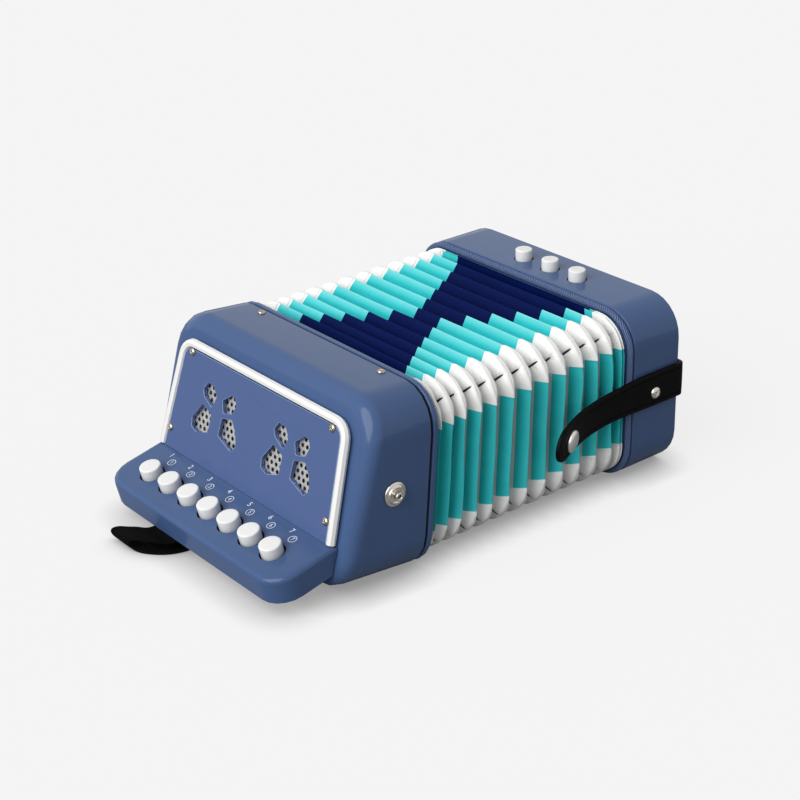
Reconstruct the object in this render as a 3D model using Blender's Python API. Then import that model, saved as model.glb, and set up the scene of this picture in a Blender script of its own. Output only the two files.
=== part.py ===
# Toy button accordion: seven melody buttons, three bass-side buttons, pleated bellows.
# The bellows runs along X, the playing side with the shelf is at -X, and the floor is z = 0.
# The pieces are built from the treble end's rear plane, and moved to the middle of the length last.
# The bass end stands square on the floor. The treble end leans back on its rear edge and thumb strap,
# so the bellows is open slightly wider at the bottom than at the top.

import math

import bmesh
import bpy
from mathutils import Matrix, Vector

mm = 0.001

# Both ends
end_width = 150 * mm
end_height = 85 * mm
corner_radius = 18.5 * mm
wall = 2.5 * mm
gap = 0.3 * mm
bellows_span = 124.8 * mm
treble_pitch = math.radians(5.1)

# Treble housing, measured to the face of its grille plate
front_reach = 49 * mm
front_tilt = math.radians(11.2)
front_fillet = 6.5 * mm
front_wall = 2.8 * mm

# Grille plate, its piping and the mesh behind it
plate_stand = 3.4 * mm
plate_face = 1.9 * mm
piping_radius = 2.1 * mm
piping_half_width = 64.8 * mm
piping_top = end_height - 10.5 * mm
piping_lean = 0.08
piping_corner = 7.6 * mm
window_margin = 3.2 * mm
window_corner = 4 * mm
mesh_lap = 3 * mm
motif_spread = 27.5 * mm
petal_rounding = 1.2 * mm

# Keyboard shelf
shelf_height = 22.4 * mm
shelf_slope = math.radians(17.8)
shelf_width = 134.8 * mm
shelf_length = 31.8 * mm
shelf_thickness = 12.5 * mm
shelf_corner = 12.5 * mm
shelf_wall = 2.2 * mm
shelf_rounding = 2.5 * mm
shelf_root = 10 * mm
underplate_thickness = 1.8 * mm

# Melody buttons and their levers
button_count = 7
button_pitch = 15.73 * mm
button_setback = 17.1 * mm
button_radius = 5.1 * mm
button_rise = 4.9 * mm
button_edge = 0.7 * mm
button_clearance = 0.9 * mm
pivot_setback = 14 * mm
axle_radius = 1 * mm
boss_wall = 1.6 * mm
boss_length = 5 * mm
hub_radius = 3.2 * mm
lever_width = 5 * mm
lever_thickness = 2.5 * mm
lever_drop = 4 * mm
lever_slot_margin = 8.8 * mm
pad_height = 47 * mm
pad_radius = 5 * mm
pad_thickness = 2.5 * mm
pad_bond = 0.5 * mm
holder_thickness = 2.2 * mm

# Leaf-spring combs
spring_sheet = 0.5 * mm
spring_tongue_width = 3.5 * mm
key_spring_back = 8 * mm
key_spring_root = 11.5 * mm
key_spring_tip = 20 * mm
crank_spring_drop = 7 * mm
crank_spring_root = 2 * mm
crank_spring_tip = 6 * mm

# Reed boards
board_thickness = 6.5 * mm
board_hole_radius = 3.5 * mm
reed_plate_thickness = 1 * mm
reed_plate_height = 22 * mm
reed_plate_corner = 1.5 * mm
reed_end_margin = 6 * mm
reed_slot_margin = 3 * mm
reed_slot_width = 0.5 * mm
reed_tongue_width = 2.6 * mm
reed_spread = 3 * mm

# Bellows frames and gasket
gasket_thickness = 1.1 * mm
gasket_inset = 0.5 * mm
gasket_border = 13 * mm
treble_frame_thickness = 2.5 * mm
frame_border = 14 * mm

# Bellows: open folds that widen towards the bass end, then closed ones
crest_inset = 2.5 * mm
fold_depth = 8.5 * mm
bellows_wall = 0.8 * mm
open_folds = 12
first_fold_share = 0.664
fold_growth = 0.033
fold_swell = 0.267
closed_folds = 2
closed_fold_share = 0.168
crest_flat_share = 0.12

# Bass end
bass_depth = 32.8 * mm
bass_rounding = 0.8 * mm
rope_radius = 1.5 * mm
bass_frame_thickness = 3.1 * mm
bass_button_count = 3
bass_button_setback = 16.1 * mm
bass_button_shift = -4.5 * mm
bass_button_pitch = 18.66 * mm
bass_button_radius = 4.2 * mm
bass_button_rise = 5.3 * mm
bass_button_height = 10.3 * mm
bass_button_clearance = 0.6 * mm
stem_radius = 1.1 * mm
crank_axle_setback = 25.7 * mm
crank_axle_height = 66 * mm
crank_axle_overhang = 12 * mm
crank_reach = 11.3 * mm
crank_arm_top = 1.6 * mm
crank_arm_bottom = 0.8 * mm
crank_pad_drop = 22 * mm
ear_thickness = 3 * mm
ear_inset = 2 * mm

# Straps
leather = 2 * mm
hand_strap_width = 17.5 * mm
hand_strap_height = 45.4 * mm
hand_strap_bow = 14 * mm
hand_strap_bend = 2 * mm
strap_screw_setback = 15 * mm
strap_screw_height = 44.4 * mm
root_clearance = 0.9 * mm
tail_length = 66.5 * mm
tail_width = 15.2 * mm
tail_drop = 8.7 * mm
tail_droop_power = 3.6
tail_lift = 5.4 * mm
thumb_strap_thickness = 1.2 * mm
thumb_strap_reach = 85.6 * mm
thumb_strap_height = 7.4 * mm
thumb_strap_root = 51 * mm
thumb_strap_bend = 71.5 * mm
thumb_strap_lift = 66 * mm
thumb_strap_free = 78 * mm
thumb_strap_low_side = 9.5 * mm
thumb_strap_low_sweep = 18.5 * mm
thumb_strap_high_side = 29 * mm
thumb_strap_high_sweep = 15 * mm

# Snap caps and press studs
cap_distance = 58 * mm
cap_radius = 6 * mm
cap_height = 2 * mm
cap_stem_radius = 1.8 * mm
socket_depth = 0.9 * mm
socket_radius = 4.8 * mm
socket_bore = 2.3 * mm
socket_roof = 1.2 * mm
stud_setback = 18.7 * mm
stud_height = 43.6 * mm
stud_flange_radius = 5.6 * mm
stud_ring_radius = 4.1 * mm
stud_knob_radius = 2 * mm
stud_shank_radius = 1.5 * mm
stud_rise = 4 * mm
stud_well_height = 1.1 * mm
stud_ring_height = 1.9 * mm
stud_knob_lip = 1.1 * mm

# Small screws
screw_head_radius = 1.9 * mm
screw_head_height = 1.1 * mm
screw_shank_radius = 0.9 * mm
screw_spacing = 88.4 * mm
screw_setback = 3.65 * mm
screw_bite = 4 * mm
counterbore_depth = 1.6 * mm
grille_screw_low = 9.1 * mm
grille_screw_low_inset = 4.1 * mm
grille_screw_high = 4 * mm
grille_screw_high_inset = 8.1 * mm
strap_screw_radius = 2.9 * mm
strap_screw_head = 1.6 * mm
strap_screw_shank = 1.4 * mm

# Smoothness
corner_steps = 5
round_steps = 24
small_round_steps = 12
stud_steps = 16

# How far a cutter runs past what it cuts
overrun = 9 * mm

for old in list(bpy.data.objects):
    bpy.data.objects.remove(old, do_unlink=True)


# Frames of reference

def translation(x, y, z):
    return Matrix.Translation((x, y, z))


# The treble end turns about its rear bottom edge, raised so that its bellows frame just clears the floor
treble_overhang = gap + gasket_thickness + gap + treble_frame_thickness
treble_lift = treble_overhang * math.sin(treble_pitch)
treble_frame = translation(0, 0, treble_lift) @ Matrix.Rotation(treble_pitch, 4, "Y")


def frame_from_axes(origin, first, second, third):
    columns = Matrix((first, second, third)).transposed().to_4x4()
    return Matrix.Translation(origin) @ columns


# Face of the grille plate: u to the player's right, v up the face, w outwards
front_normal = Vector((-math.cos(front_tilt), 0, math.sin(front_tilt)))
front_up = Vector((math.sin(front_tilt), 0, math.cos(front_tilt)))
front_origin = Vector((-front_reach, 0, 0))
front_frame = treble_frame @ frame_from_axes(front_origin, (0, -1, 0), front_up, front_normal)

# Top face of the keyboard shelf: first axis outwards, second to the player's right, third up
shelf_out = Vector((-math.cos(shelf_slope), 0, -math.sin(shelf_slope)))
shelf_up = Vector((-math.sin(shelf_slope), 0, math.cos(shelf_slope)))
shelf_origin = front_origin + front_up * shelf_height
shelf_frame = treble_frame @ frame_from_axes(shelf_origin, shelf_out, (0, -1, 0), shelf_up)

# Frames whose third axis points along X, with the first along Y and the second up
treble_rear_frame = treble_frame @ frame_from_axes((0, 0, 0), (0, 1, 0), (0, 0, 1), (1, 0, 0))
bass_rear_frame = frame_from_axes((bellows_span, 0, 0), (0, 1, 0), (0, 0, 1), (1, 0, 0))


# Outlines

def arc(centre_u, centre_v, radius, start, end, steps):
    points = []
    for i in range(steps + 1):
        angle = start + (end - start) * i / steps
        points.append((centre_u + radius * math.cos(angle), centre_v + radius * math.sin(angle)))
    return points


def box_outline(width, low, high):
    return [(-width / 2, low), (width / 2, low), (width / 2, high), (-width / 2, high)]


def rounded_box_outline(width, bottom, top, radius, steps=corner_steps):
    right = width / 2 - radius
    low = bottom + radius
    high = top - radius
    quarter = math.pi / 2
    return (
        arc(right, low, radius, -quarter, 0, steps)
        + arc(right, high, radius, 0, quarter, steps)
        + arc(-right, high, radius, quarter, 2 * quarter, steps)
        + arc(-right, low, radius, 2 * quarter, 3 * quarter, steps)
    )


def end_outline(inset, steps=corner_steps):
    radius = max(corner_radius - inset, 1 * mm)
    return rounded_box_outline(end_width - 2 * inset, inset, end_height - inset, radius, steps)


def disc_outline(radius, steps=round_steps, centre=(0, 0)):
    return arc(centre[0], centre[1], radius, 0, 2 * math.pi, steps)[:-1]


def rounded_polygon(corners, radius, steps=3):
    points = []
    for i, corner in enumerate(corners):
        here = Vector(corner)
        before = Vector(corners[i - 1])
        after = Vector(corners[(i + 1) % len(corners)])
        to_before = (before - here).normalized()
        to_after = (after - here).normalized()
        half = to_before.angle(to_after) / 2
        reach = radius / math.tan(half)
        reach = min(reach, 0.45 * (before - here).length, 0.45 * (after - here).length)
        start = here + to_before * reach
        end = here + to_after * reach
        for k in range(steps + 1):
            t = k / steps
            bent = start * (1 - t) ** 2 + here * 2 * t * (1 - t) + end * t ** 2
            points.append((bent.x, bent.y))
    return points


def smoothstep(low, high, value):
    t = min(max((value - low) / (high - low), 0), 1)
    return t * t * (3 - 2 * t)


# Solids

def link_solid(name, bm, frame):
    bmesh.ops.recalc_face_normals(bm, faces=bm.faces)
    mesh = bpy.data.meshes.new(name)
    bm.to_mesh(mesh)
    bm.free()
    mesh.shade_smooth()
    mesh.set_sharp_from_angle(angle=math.radians(35))
    solid = bpy.data.objects.new(name, mesh)
    bpy.context.scene.collection.objects.link(solid)
    solid.matrix_world = frame
    return solid


def add_prism(bm, outline, low, high):
    face = bm.faces.new([bm.verts.new((u, v, low)) for u, v in outline])
    extruded = bmesh.ops.extrude_face_region(bm, geom=[face])
    moved = [item for item in extruded["geom"] if isinstance(item, bmesh.types.BMVert)]
    bmesh.ops.translate(bm, verts=moved, vec=(0, 0, high - low))


def prism(name, outline, low, high, frame):
    bm = bmesh.new()
    add_prism(bm, outline, low, high)
    return link_solid(name, bm, frame)


def prisms(name, outlines, low, high, frame):
    bm = bmesh.new()
    for outline in outlines:
        add_prism(bm, outline, low, high)
    return link_solid(name, bm, frame)


def loft(name, rings, frame, closed=False):
    bm = bmesh.new()
    rows = [[bm.verts.new(point) for point in ring] for ring in rings]
    pairs = list(zip(rows, rows[1:]))
    if closed:
        pairs.append((rows[-1], rows[0]))
    for first, second in pairs:
        count = len(first)
        for i in range(count):
            k = (i + 1) % count
            bm.faces.new((first[i], first[k], second[k], second[i]))
    if not closed:
        bm.faces.new(rows[0])
        bm.faces.new(rows[-1])
    return link_solid(name, bm, frame)


def turned(name, profile, frame, steps=round_steps):
    bm = bmesh.new()
    points = [bm.verts.new((radius, 0, height)) for radius, height in profile]
    edges = [bm.edges.new(pair) for pair in zip(points, points[1:])]
    bmesh.ops.spin(
        bm, geom=points + edges, cent=(0, 0, 0), axis=(0, 0, 1),
        angle=2 * math.pi, steps=steps, use_merge=True,
    )
    bmesh.ops.remove_doubles(bm, verts=bm.verts, dist=1e-6)
    return link_solid(name, bm, frame)


def flat_ring(name, outer, inner, low, high, frame):
    rings = [
        [(u, v, low) for u, v in outer],
        [(u, v, high) for u, v in outer],
        [(u, v, high) for u, v in inner],
        [(u, v, low) for u, v in inner],
    ]
    return loft(name, rings, frame, closed=True)


def tube(name, path, height, radius, frame, cyclic=False):
    curve = bpy.data.curves.new(name, "CURVE")
    curve.dimensions = "3D"
    curve.bevel_depth = radius
    curve.bevel_resolution = 2
    curve.resolution_u = 1
    curve.use_fill_caps = True
    spline = curve.splines.new("POLY")
    spline.points.add(len(path) - 1)
    for point, (u, v) in zip(spline.points, path):
        point.co = (u, v, height, 1)
    spline.use_cyclic_u = cyclic
    solid = bpy.data.objects.new(name, curve)
    bpy.context.scene.collection.objects.link(solid)
    solid.matrix_world = frame
    return solid


def cylinder_between(name, radius, start, end, steps=small_round_steps):
    axis = Vector(end) - Vector(start)
    turn = Vector((0, 0, 1)).rotation_difference(axis).to_matrix().to_4x4()
    frame = Matrix.Translation(start) @ turn
    return prism(name, disc_outline(radius, steps), 0, axis.length, frame)


def carve(solid, cutter, operation="DIFFERENCE"):
    cutter.hide_render = True
    cutter.display_type = "WIRE"
    step = solid.modifiers.new(cutter.name, "BOOLEAN")
    step.operation = operation
    step.solver = "EXACT"
    step.object = cutter


def soften(solid, width):
    step = solid.modifiers.new("rounded edges", "BEVEL")
    step.width = width
    step.segments = 2
    step.limit_method = "ANGLE"
    step.angle_limit = math.radians(50)


def keep_side(solid, point, normal):
    # Cuts along a plane of the treble end and keeps the side that the normal points to
    bm = bmesh.new()
    bm.from_mesh(solid.data)
    to_local = solid.matrix_world.inverted() @ treble_frame
    bmesh.ops.bisect_plane(
        bm, geom=bm.verts[:] + bm.edges[:] + bm.faces[:],
        plane_co=to_local @ point, plane_no=to_local.to_3x3() @ normal, clear_inner=True,
    )
    open_edges = [edge for edge in bm.edges if edge.is_boundary]
    bmesh.ops.holes_fill(bm, edges=open_edges, sides=0)
    bmesh.ops.recalc_face_normals(bm, faces=bm.faces)
    bm.to_mesh(solid.data)
    bm.free()


# Materials

def linear_from_srgb(value):
    if value <= 0.04045:
        return value / 12.92
    return ((value + 0.055) / 1.055) ** 2.4


def finish(solid, hex_colour, roughness, metallic=0.0):
    channels = [int(hex_colour[i:i + 2], 16) / 255 for i in (0, 2, 4)]
    material = bpy.data.materials.new(solid.name)
    material.use_nodes = True
    shader = material.node_tree.nodes["Principled BSDF"]
    shader.inputs["Base Color"].default_value = [linear_from_srgb(c) for c in channels] + [1]
    shader.inputs["Roughness"].default_value = roughness
    shader.inputs["Metallic"].default_value = metallic
    if solid.data.materials:
        solid.data.materials[0] = material
    else:
        solid.data.materials.append(material)
    return solid


def blue_plastic(solid):
    return finish(solid, "4A6196", 0.25)


def white_plastic(solid):
    return finish(solid, "F2F1EE", 0.35)


def dark_plastic(solid):
    return finish(solid, "2B2D33", 0.5)


def black_leather(solid):
    return finish(solid, "15120F", 0.6)


def black_foam(solid):
    return finish(solid, "101114", 0.7)


def turquoise_cloth(solid):
    return finish(solid, "4FC9C4", 0.7)


def beech_ply(solid):
    return finish(solid, "C9A675", 0.7)


def punched_steel(solid):
    return finish(solid, "A9A59E", 0.5, 0.6)


def nickel(solid):
    return finish(solid, "C9C4BA", 0.25, 1.0)


def brass(solid):
    return finish(solid, "C2A15A", 0.3, 1.0)


# Empties that carry the ends and the moving pieces

def attach(child, parent):
    child.parent = parent
    child.matrix_parent_inverse = parent.matrix_world.inverted()


def pivot_empty(name, location, parent):
    empty = bpy.data.objects.new(name, None)
    bpy.context.scene.collection.objects.link(empty)
    empty.location = location
    bpy.context.view_layer.update()
    attach(empty, parent)
    return empty


treble_end = bpy.data.objects.new("treble_end", None)
bpy.context.scene.collection.objects.link(treble_end)
treble_end.matrix_world = treble_frame
bass_end = bpy.data.objects.new("bass_end", None)
bpy.context.scene.collection.objects.link(bass_end)
bass_end.location = (bellows_span, 0, 0)
bpy.context.view_layer.update()


# Domed screws. The head sits on the surface at z = 0 of its frame and the shank runs down from it

def domed_screw(name, frame, head_radius, head_height, shank_radius, shank_length):
    seat = gap / 2
    profile = (
        (0, -shank_length),
        (shank_radius, -shank_length),
        (shank_radius, seat),
        (head_radius, seat),
        (head_radius * 0.96, seat + head_height * 0.35),
        (head_radius * 0.75, seat + head_height * 0.75),
        (head_radius * 0.38, seat + head_height * 0.96),
        (0, seat + head_height),
    )
    return turned(name, profile, frame, small_round_steps)


def small_screw(name, frame, shank_length):
    return domed_screw(
        name, frame, screw_head_radius, screw_head_height, screw_shank_radius, shank_length
    )


def screw_hole(target, frame, radius, depth):
    hole = prism("screw_hole", disc_outline(radius, small_round_steps), -depth, gap, frame)
    carve(target, hole)


# Treble housing: a moulded shell whose front leans back behind the grille plate

def shelf_point(out, up):
    place = shelf_origin + shelf_out * out + shelf_up * up
    return place.x, place.z


pivot_x, pivot_z = shelf_point(-pivot_setback, -lever_drop - lever_thickness / 2)
side_inside = end_width / 2 - wall
button_sides = [(i - (button_count - 1) / 2) * button_pitch for i in range(button_count)]


def housing_blank(name, inset, front_inset, rear):
    bm = bmesh.new()
    face = bm.faces.new([bm.verts.new((rear, y, z)) for y, z in end_outline(inset)])
    extruded = bmesh.ops.extrude_face_region(bm, geom=[face])
    moved = [item for item in extruded["geom"] if isinstance(item, bmesh.types.BMVert)]
    bmesh.ops.translate(bm, verts=moved, vec=(-1.3 * front_reach, 0, 0))
    cut = bmesh.ops.bisect_plane(
        bm, geom=bm.verts[:] + bm.edges[:] + bm.faces[:],
        plane_co=front_origin - front_normal * front_inset, plane_no=front_normal, clear_outer=True,
    )
    rim = [item for item in cut["geom_cut"] if isinstance(item, bmesh.types.BMEdge)]
    bmesh.ops.holes_fill(bm, edges=rim, sides=0)
    radius = max(front_fillet - inset, 1 * mm)
    bmesh.ops.bevel(bm, geom=rim, offset=radius, segments=4, profile=0.5, affect="EDGES")
    return link_solid(name, bm, treble_frame)


def add_axle_bosses(housing):
    for side in (-1, 1):
        root = treble_frame @ Vector((pivot_x, side * (side_inside + wall / 2), pivot_z))
        mouth = treble_frame @ Vector((pivot_x, side * side_inside, pivot_z))
        tip = treble_frame @ Vector((pivot_x, side * (side_inside - boss_length), pivot_z))
        beyond = treble_frame @ Vector((pivot_x, side * (side_inside - boss_length - gap), pivot_z))
        boss = cylinder_between("axle_boss_shape", axle_radius + gap + boss_wall, root, tip)
        carve(housing, boss, "UNION")
        carve(housing, cylinder_between("axle_bore", axle_radius + gap, mouth, beyond))


# The two motifs of the grille plate, each of four petals
petal_corners = (
    ((-10.1, 61.0), (-12.7, 57.0), (-10.9, 54.0), (-4.2, 50.8), (-1.9, 56.8), (-5.3, 60.5)),
    ((-11.4, 50.4), (-17.5, 42.0), (-16.8, 37.8), (-12.3, 36.3), (-4.0, 39.2), (-3.7, 47.8)),
    ((8.6, 61.0), (2.8, 56.7), (4.8, 51.3), (11.4, 53.2), (13.2, 57.8), (11.4, 60.7)),
    ((4.4, 48.8), (12.0, 50.6), (16.0, 46.0), (17.9, 39.8), (15.0, 36.7), (3.9, 40.3)),
)


def petal_outlines():
    outlines = []
    for motif_side in (-1, 1):
        for corners in petal_corners:
            moved = [(u * mm + motif_side * motif_spread, v * mm) for u, v in corners]
            outlines.append(rounded_polygon(moved, petal_rounding))
    return outlines


def window_outline(lap):
    # The opening behind both motifs, widened all round by the lap
    points = [point for outline in petal_outlines() for point in outline]
    margin = window_margin + lap
    half = max(u for u, v in points) + margin
    low = min(v for u, v in points) - margin
    high = max(v for u, v in points) + margin
    return rounded_box_outline(2 * half, low, high, window_corner, 3)


def make_treble_housing():
    housing = housing_blank("treble_housing", 0, plate_stand, 0)
    carve(housing, housing_blank("treble_cavity", wall, plate_stand + front_wall, overrun))
    add_axle_bosses(housing)
    carve(housing, prism("grille_window", window_outline(0), -2 * overrun, 0, front_frame))
    slot_width = shelf_width - 2 * lever_slot_margin
    slot_low = shelf_height - shelf_thickness + underplate_thickness
    slot_outline = box_outline(slot_width, slot_low, shelf_height - 2 * gap)
    carve(housing, prism("lever_slot", slot_outline, -overrun, 0, front_frame))
    return blue_plastic(housing)


# Grille plate: a shallow tray on the sloped front, with the punched mesh in its back

def leg_half_width(height):
    return piping_half_width - piping_lean * (height - shelf_height)


def arch_outline(inset, bottom):
    # The piping's middle line, moved inwards by the inset: two leaning legs and rounded upper corners
    lean = math.atan(piping_lean)
    radius = piping_corner - inset
    centre_v = piping_top - piping_corner
    centre_u = leg_half_width(centre_v) - piping_corner / math.cos(lean)
    low = leg_half_width(bottom) - inset / math.cos(lean)
    quarter = math.pi / 2
    return (
        [(-low, bottom), (low, bottom)]
        + arc(centre_u, centre_v, radius, lean, quarter, corner_steps)
        + arc(-centre_u, centre_v, radius, quarter, 2 * quarter - lean, corner_steps)
    )


def make_grille_plate():
    outline = arch_outline(piping_radius + gap, shelf_height + gap)
    plate = prism("grille_plate", outline, gap - plate_stand, 0, front_frame)
    recess = prism("mesh_recess", window_outline(mesh_lap), -overrun, -plate_face, front_frame)
    carve(plate, recess)
    carve(plate, prisms("petal_shapes", petal_outlines(), -overrun, overrun, front_frame))
    return blue_plastic(plate)


def make_grille_mesh():
    outline = window_outline(mesh_lap - gap)
    return punched_steel(
        prism("grille_mesh", outline, gap - plate_stand, -plate_face - gap, front_frame)
    )


def make_grille_piping():
    points = arch_outline(0, shelf_height + 2 * gap)
    height = gap - plate_stand + piping_radius
    return white_plastic(
        tube("grille_piping", points[1:] + points[:1], height, piping_radius, front_frame)
    )


def make_grille_screws(plate, housing):
    low = shelf_height + grille_screw_low
    high = piping_top - grille_screw_high
    places = (
        ("lower", leg_half_width(low) - grille_screw_low_inset, low),
        ("upper", leg_half_width(high) - grille_screw_high_inset, high),
    )
    screws = []
    for side, side_name in ((-1, "left"), (1, "right")):
        for level, u, v in places:
            place = front_frame @ translation(side * u, v, 0)
            length = plate_stand + front_wall
            screw_hole(plate, place, screw_shank_radius + gap, length + gap)
            screw_hole(housing, place, screw_shank_radius + gap, length + gap)
            screws.append(brass(small_screw(f"grille_screw_{level}_{side_name}", place, length)))
    return screws


# Keyboard shelf, an open-bottomed moulding closed by an underplate

def shelf_outline(inset, inner_end):
    half = shelf_width / 2 - inset
    end = shelf_length - inset
    radius = max(shelf_corner - inset, 1 * mm)
    quarter = math.pi / 2
    return (
        [(inner_end, half), (inner_end, -half)]
        + arc(end - radius, -half + radius, radius, -quarter, 0, corner_steps)
        + arc(end - radius, half - radius, radius, 0, quarter, corner_steps)
    )


def meet_housing(solid):
    keep_side(solid, front_origin + front_normal * (gap - plate_stand), front_normal)


def make_keyboard_shelf():
    bm = bmesh.new()
    add_prism(bm, shelf_outline(0, -shelf_root), -shelf_thickness, 0)
    rounded = []
    for edge in bm.edges:
        at_root = max(v.co.x for v in edge.verts) < 0
        if min(v.co.z for v in edge.verts) > -gap and not at_root:
            rounded.append(edge)
    bmesh.ops.bevel(bm, geom=rounded, offset=shelf_rounding, segments=3, profile=0.5, affect="EDGES")
    shelf = link_solid("keyboard_shelf", bm, shelf_frame)
    meet_housing(shelf)
    keep_side(shelf, shelf_origin, -front_up)
    hollow_outline = shelf_outline(shelf_wall, -2 * shelf_root)
    carve(shelf, prism("shelf_hollow", hollow_outline, -2 * shelf_thickness, -shelf_wall, shelf_frame))
    holes = [
        disc_outline(button_radius + button_clearance, round_steps, (button_setback, right))
        for right in button_sides
    ]
    carve(shelf, prisms("button_holes", holes, -2 * shelf_wall, 2 * shelf_wall, shelf_frame))
    return blue_plastic(shelf)


def make_shelf_underplate():
    underplate = prism(
        "shelf_underplate", shelf_outline(shelf_wall + gap, -shelf_root),
        -shelf_thickness, underplate_thickness - shelf_thickness, shelf_frame,
    )
    meet_housing(underplate)
    return blue_plastic(underplate)


# Melody levers: a bent arm on the common axle, with the button at one end and a pad at the other

pad_face_x = -board_thickness - 2 * gap
holder_back_x = pad_face_x - pad_thickness
side_profile_frame = frame_from_axes((0, 0, 0), (1, 0, 0), (0, 0, 1), (0, -1, 0))


def lever_outline():
    arm_end = button_setback + button_radius
    holder_front_x = holder_back_x - holder_thickness
    return [
        shelf_point(arm_end, -lever_drop - lever_thickness),
        shelf_point(-pivot_setback + hub_radius, -lever_drop - lever_thickness),
        shelf_point(-pivot_setback, -lever_drop - lever_thickness / 2 - hub_radius),
        (pivot_x + hub_radius, pivot_z - 0.3 * hub_radius),
        (holder_front_x + 0.5 * holder_thickness, pad_height - pad_radius),
        (holder_back_x, pad_height - pad_radius),
        (holder_back_x, pad_height + pad_radius),
        (holder_front_x, pad_height + pad_radius),
        (holder_front_x, pad_height - 0.2 * pad_radius),
        (pivot_x, pivot_z + 1.15 * hub_radius),
        shelf_point(-pivot_setback + hub_radius, -lever_drop),
        shelf_point(arm_end, -lever_drop),
    ]


def axle_prism(name, radius, half_length, x, z, frame):
    along_y = frame @ frame_from_axes((x, 0, z), (1, 0, 0), (0, 0, -1), (0, 1, 0))
    return prism(name, disc_outline(radius, small_round_steps), -half_length, half_length, along_y)


def make_key_axle():
    return nickel(axle_prism("key_axle", axle_radius, side_inside - gap, pivot_x, pivot_z, treble_frame))


def make_melody_key(number, right):
    pivot_place = treble_frame @ Vector((pivot_x, -right, pivot_z))
    pivot = pivot_empty(f"key_pivot_{number}", pivot_place, treble_end)
    lever_frame = treble_frame @ translation(0, -right, 0) @ side_profile_frame
    lever = prism(f"key_lever_{number}", lever_outline(), -lever_width / 2, lever_width / 2, lever_frame)
    pad_start = treble_frame @ Vector((holder_back_x - pad_bond, -right, pad_height))
    pad_end = treble_frame @ Vector((pad_face_x - gap, -right, pad_height))
    carve(lever, cylinder_between(f"pad_shape_{number}", pad_radius * 0.95, pad_start, pad_end), "UNION")
    clearance = axle_prism("axle_clearance", axle_radius + gap, side_inside, pivot_x, pivot_z, treble_frame)
    carve(lever, clearance)
    attach(dark_plastic(lever), pivot)
    button = prism(
        f"button_{number}", disc_outline(button_radius), gap - lever_drop, button_rise,
        shelf_frame @ translation(button_setback, right, 0),
    )
    soften(button, button_edge)
    attach(white_plastic(button), pivot)


# Leaf-spring comb: a back strip with one raised tongue for each lever, cut from a single sheet

def tongue_strip(bm, side, start, root, tip, low, rise):
    stations = ((start, 0), (root, 0), (tip, rise))
    rows = []
    for along, up in stations:
        row = []
        for lift in (0, spring_sheet):
            for across in (-spring_tongue_width / 2, spring_tongue_width / 2):
                row.append(bm.verts.new((along, side + across, low + up + lift)))
        rows.append(row)
    for first, second in zip(rows, rows[1:]):
        for i, k in ((0, 1), (1, 3), (3, 2), (2, 0)):
            bm.faces.new((first[i], first[k], second[k], second[i]))
    for row in (rows[0], rows[-1]):
        bm.faces.new((row[0], row[1], row[3], row[2]))


def comb_spring(name, frame, sides, back, root, tip, low, high):
    first = min(sides) - spring_tongue_width
    last = max(sides) + spring_tongue_width
    strip = [(back, first), (root, first), (root, last), (back, last)]
    spring = prism(name, strip, low, low + spring_sheet, frame)
    bm = bmesh.new()
    for side in sides:
        tongue_strip(bm, side, (back + root) / 2, root, tip, low, high - spring_sheet - low)
    carve(spring, link_solid(f"{name}_tongues", bm, frame), "UNION")
    return brass(spring)


def make_key_springs():
    floor = underplate_thickness - shelf_thickness + gap
    under_lever = -lever_drop - lever_thickness - gap
    return comb_spring(
        "key_springs", shelf_frame, button_sides,
        key_spring_back, key_spring_root, key_spring_tip, floor, under_lever,
    )


# Reed board and reed plate of an end. Their frame has its third axis towards +X

def reed_board(name, frame, low, high, hole_places):
    board = prism(name, end_outline(wall + gap), low, high, frame)
    holes = [disc_outline(board_hole_radius, small_round_steps, place) for place in hole_places]
    carve(board, prisms(f"{name}_holes", holes, low - overrun, high + overrun, frame))
    return beech_ply(board)


def reed_slot_outline(middle, low, high):
    # Cut round three sides of a tongue, which stays joined to the plate at the top
    inner = reed_tongue_width / 2
    outer = inner + reed_slot_width
    tip = low + reed_slot_width
    return [
        (middle - outer, high), (middle - outer, low), (middle + outer, low), (middle + outer, high),
        (middle + inner, high), (middle + inner, tip), (middle - inner, tip), (middle - inner, high),
    ]


def reed_plate(name, frame, low, high, places, centre):
    half_length = max(abs(u) for u in places) + reed_end_margin
    half_height = reed_plate_height / 2
    outline = rounded_box_outline(
        2 * half_length, centre - half_height, centre + half_height, reed_plate_corner, 2
    )
    plate = prism(name, outline, low, high, frame)
    reach = half_height - reed_slot_margin
    slots = [
        reed_slot_outline(u + shift, centre - reach, centre + reach)
        for u in places for shift in (-reed_spread, reed_spread)
    ]
    carve(plate, prisms(f"{name}_slots", slots, low - overrun, high + overrun, frame))
    return brass(plate)


def make_treble_reeds():
    holes = [(-right, pad_height) for right in button_sides]
    board = reed_board("treble_reed_board", treble_rear_frame, -board_thickness - gap, -gap, holes)
    places = [-right for right in button_sides]
    plate = reed_plate(
        "treble_reed_plate", treble_rear_frame, 0, reed_plate_thickness, places, pad_height
    )
    return board, plate


# Gasket and bellows frame of the treble end, and the screws that hold its reed board

def make_treble_gasket():
    return black_foam(flat_ring(
        "treble_gasket", end_outline(gasket_inset), end_outline(gasket_border),
        gap, gap + gasket_thickness, treble_rear_frame,
    ))


def make_treble_bellows_frame():
    start = treble_overhang - treble_frame_thickness
    return blue_plastic(flat_ring(
        "treble_bellows_frame", end_outline(0), end_outline(frame_border),
        start, treble_overhang, treble_rear_frame,
    ))


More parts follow.
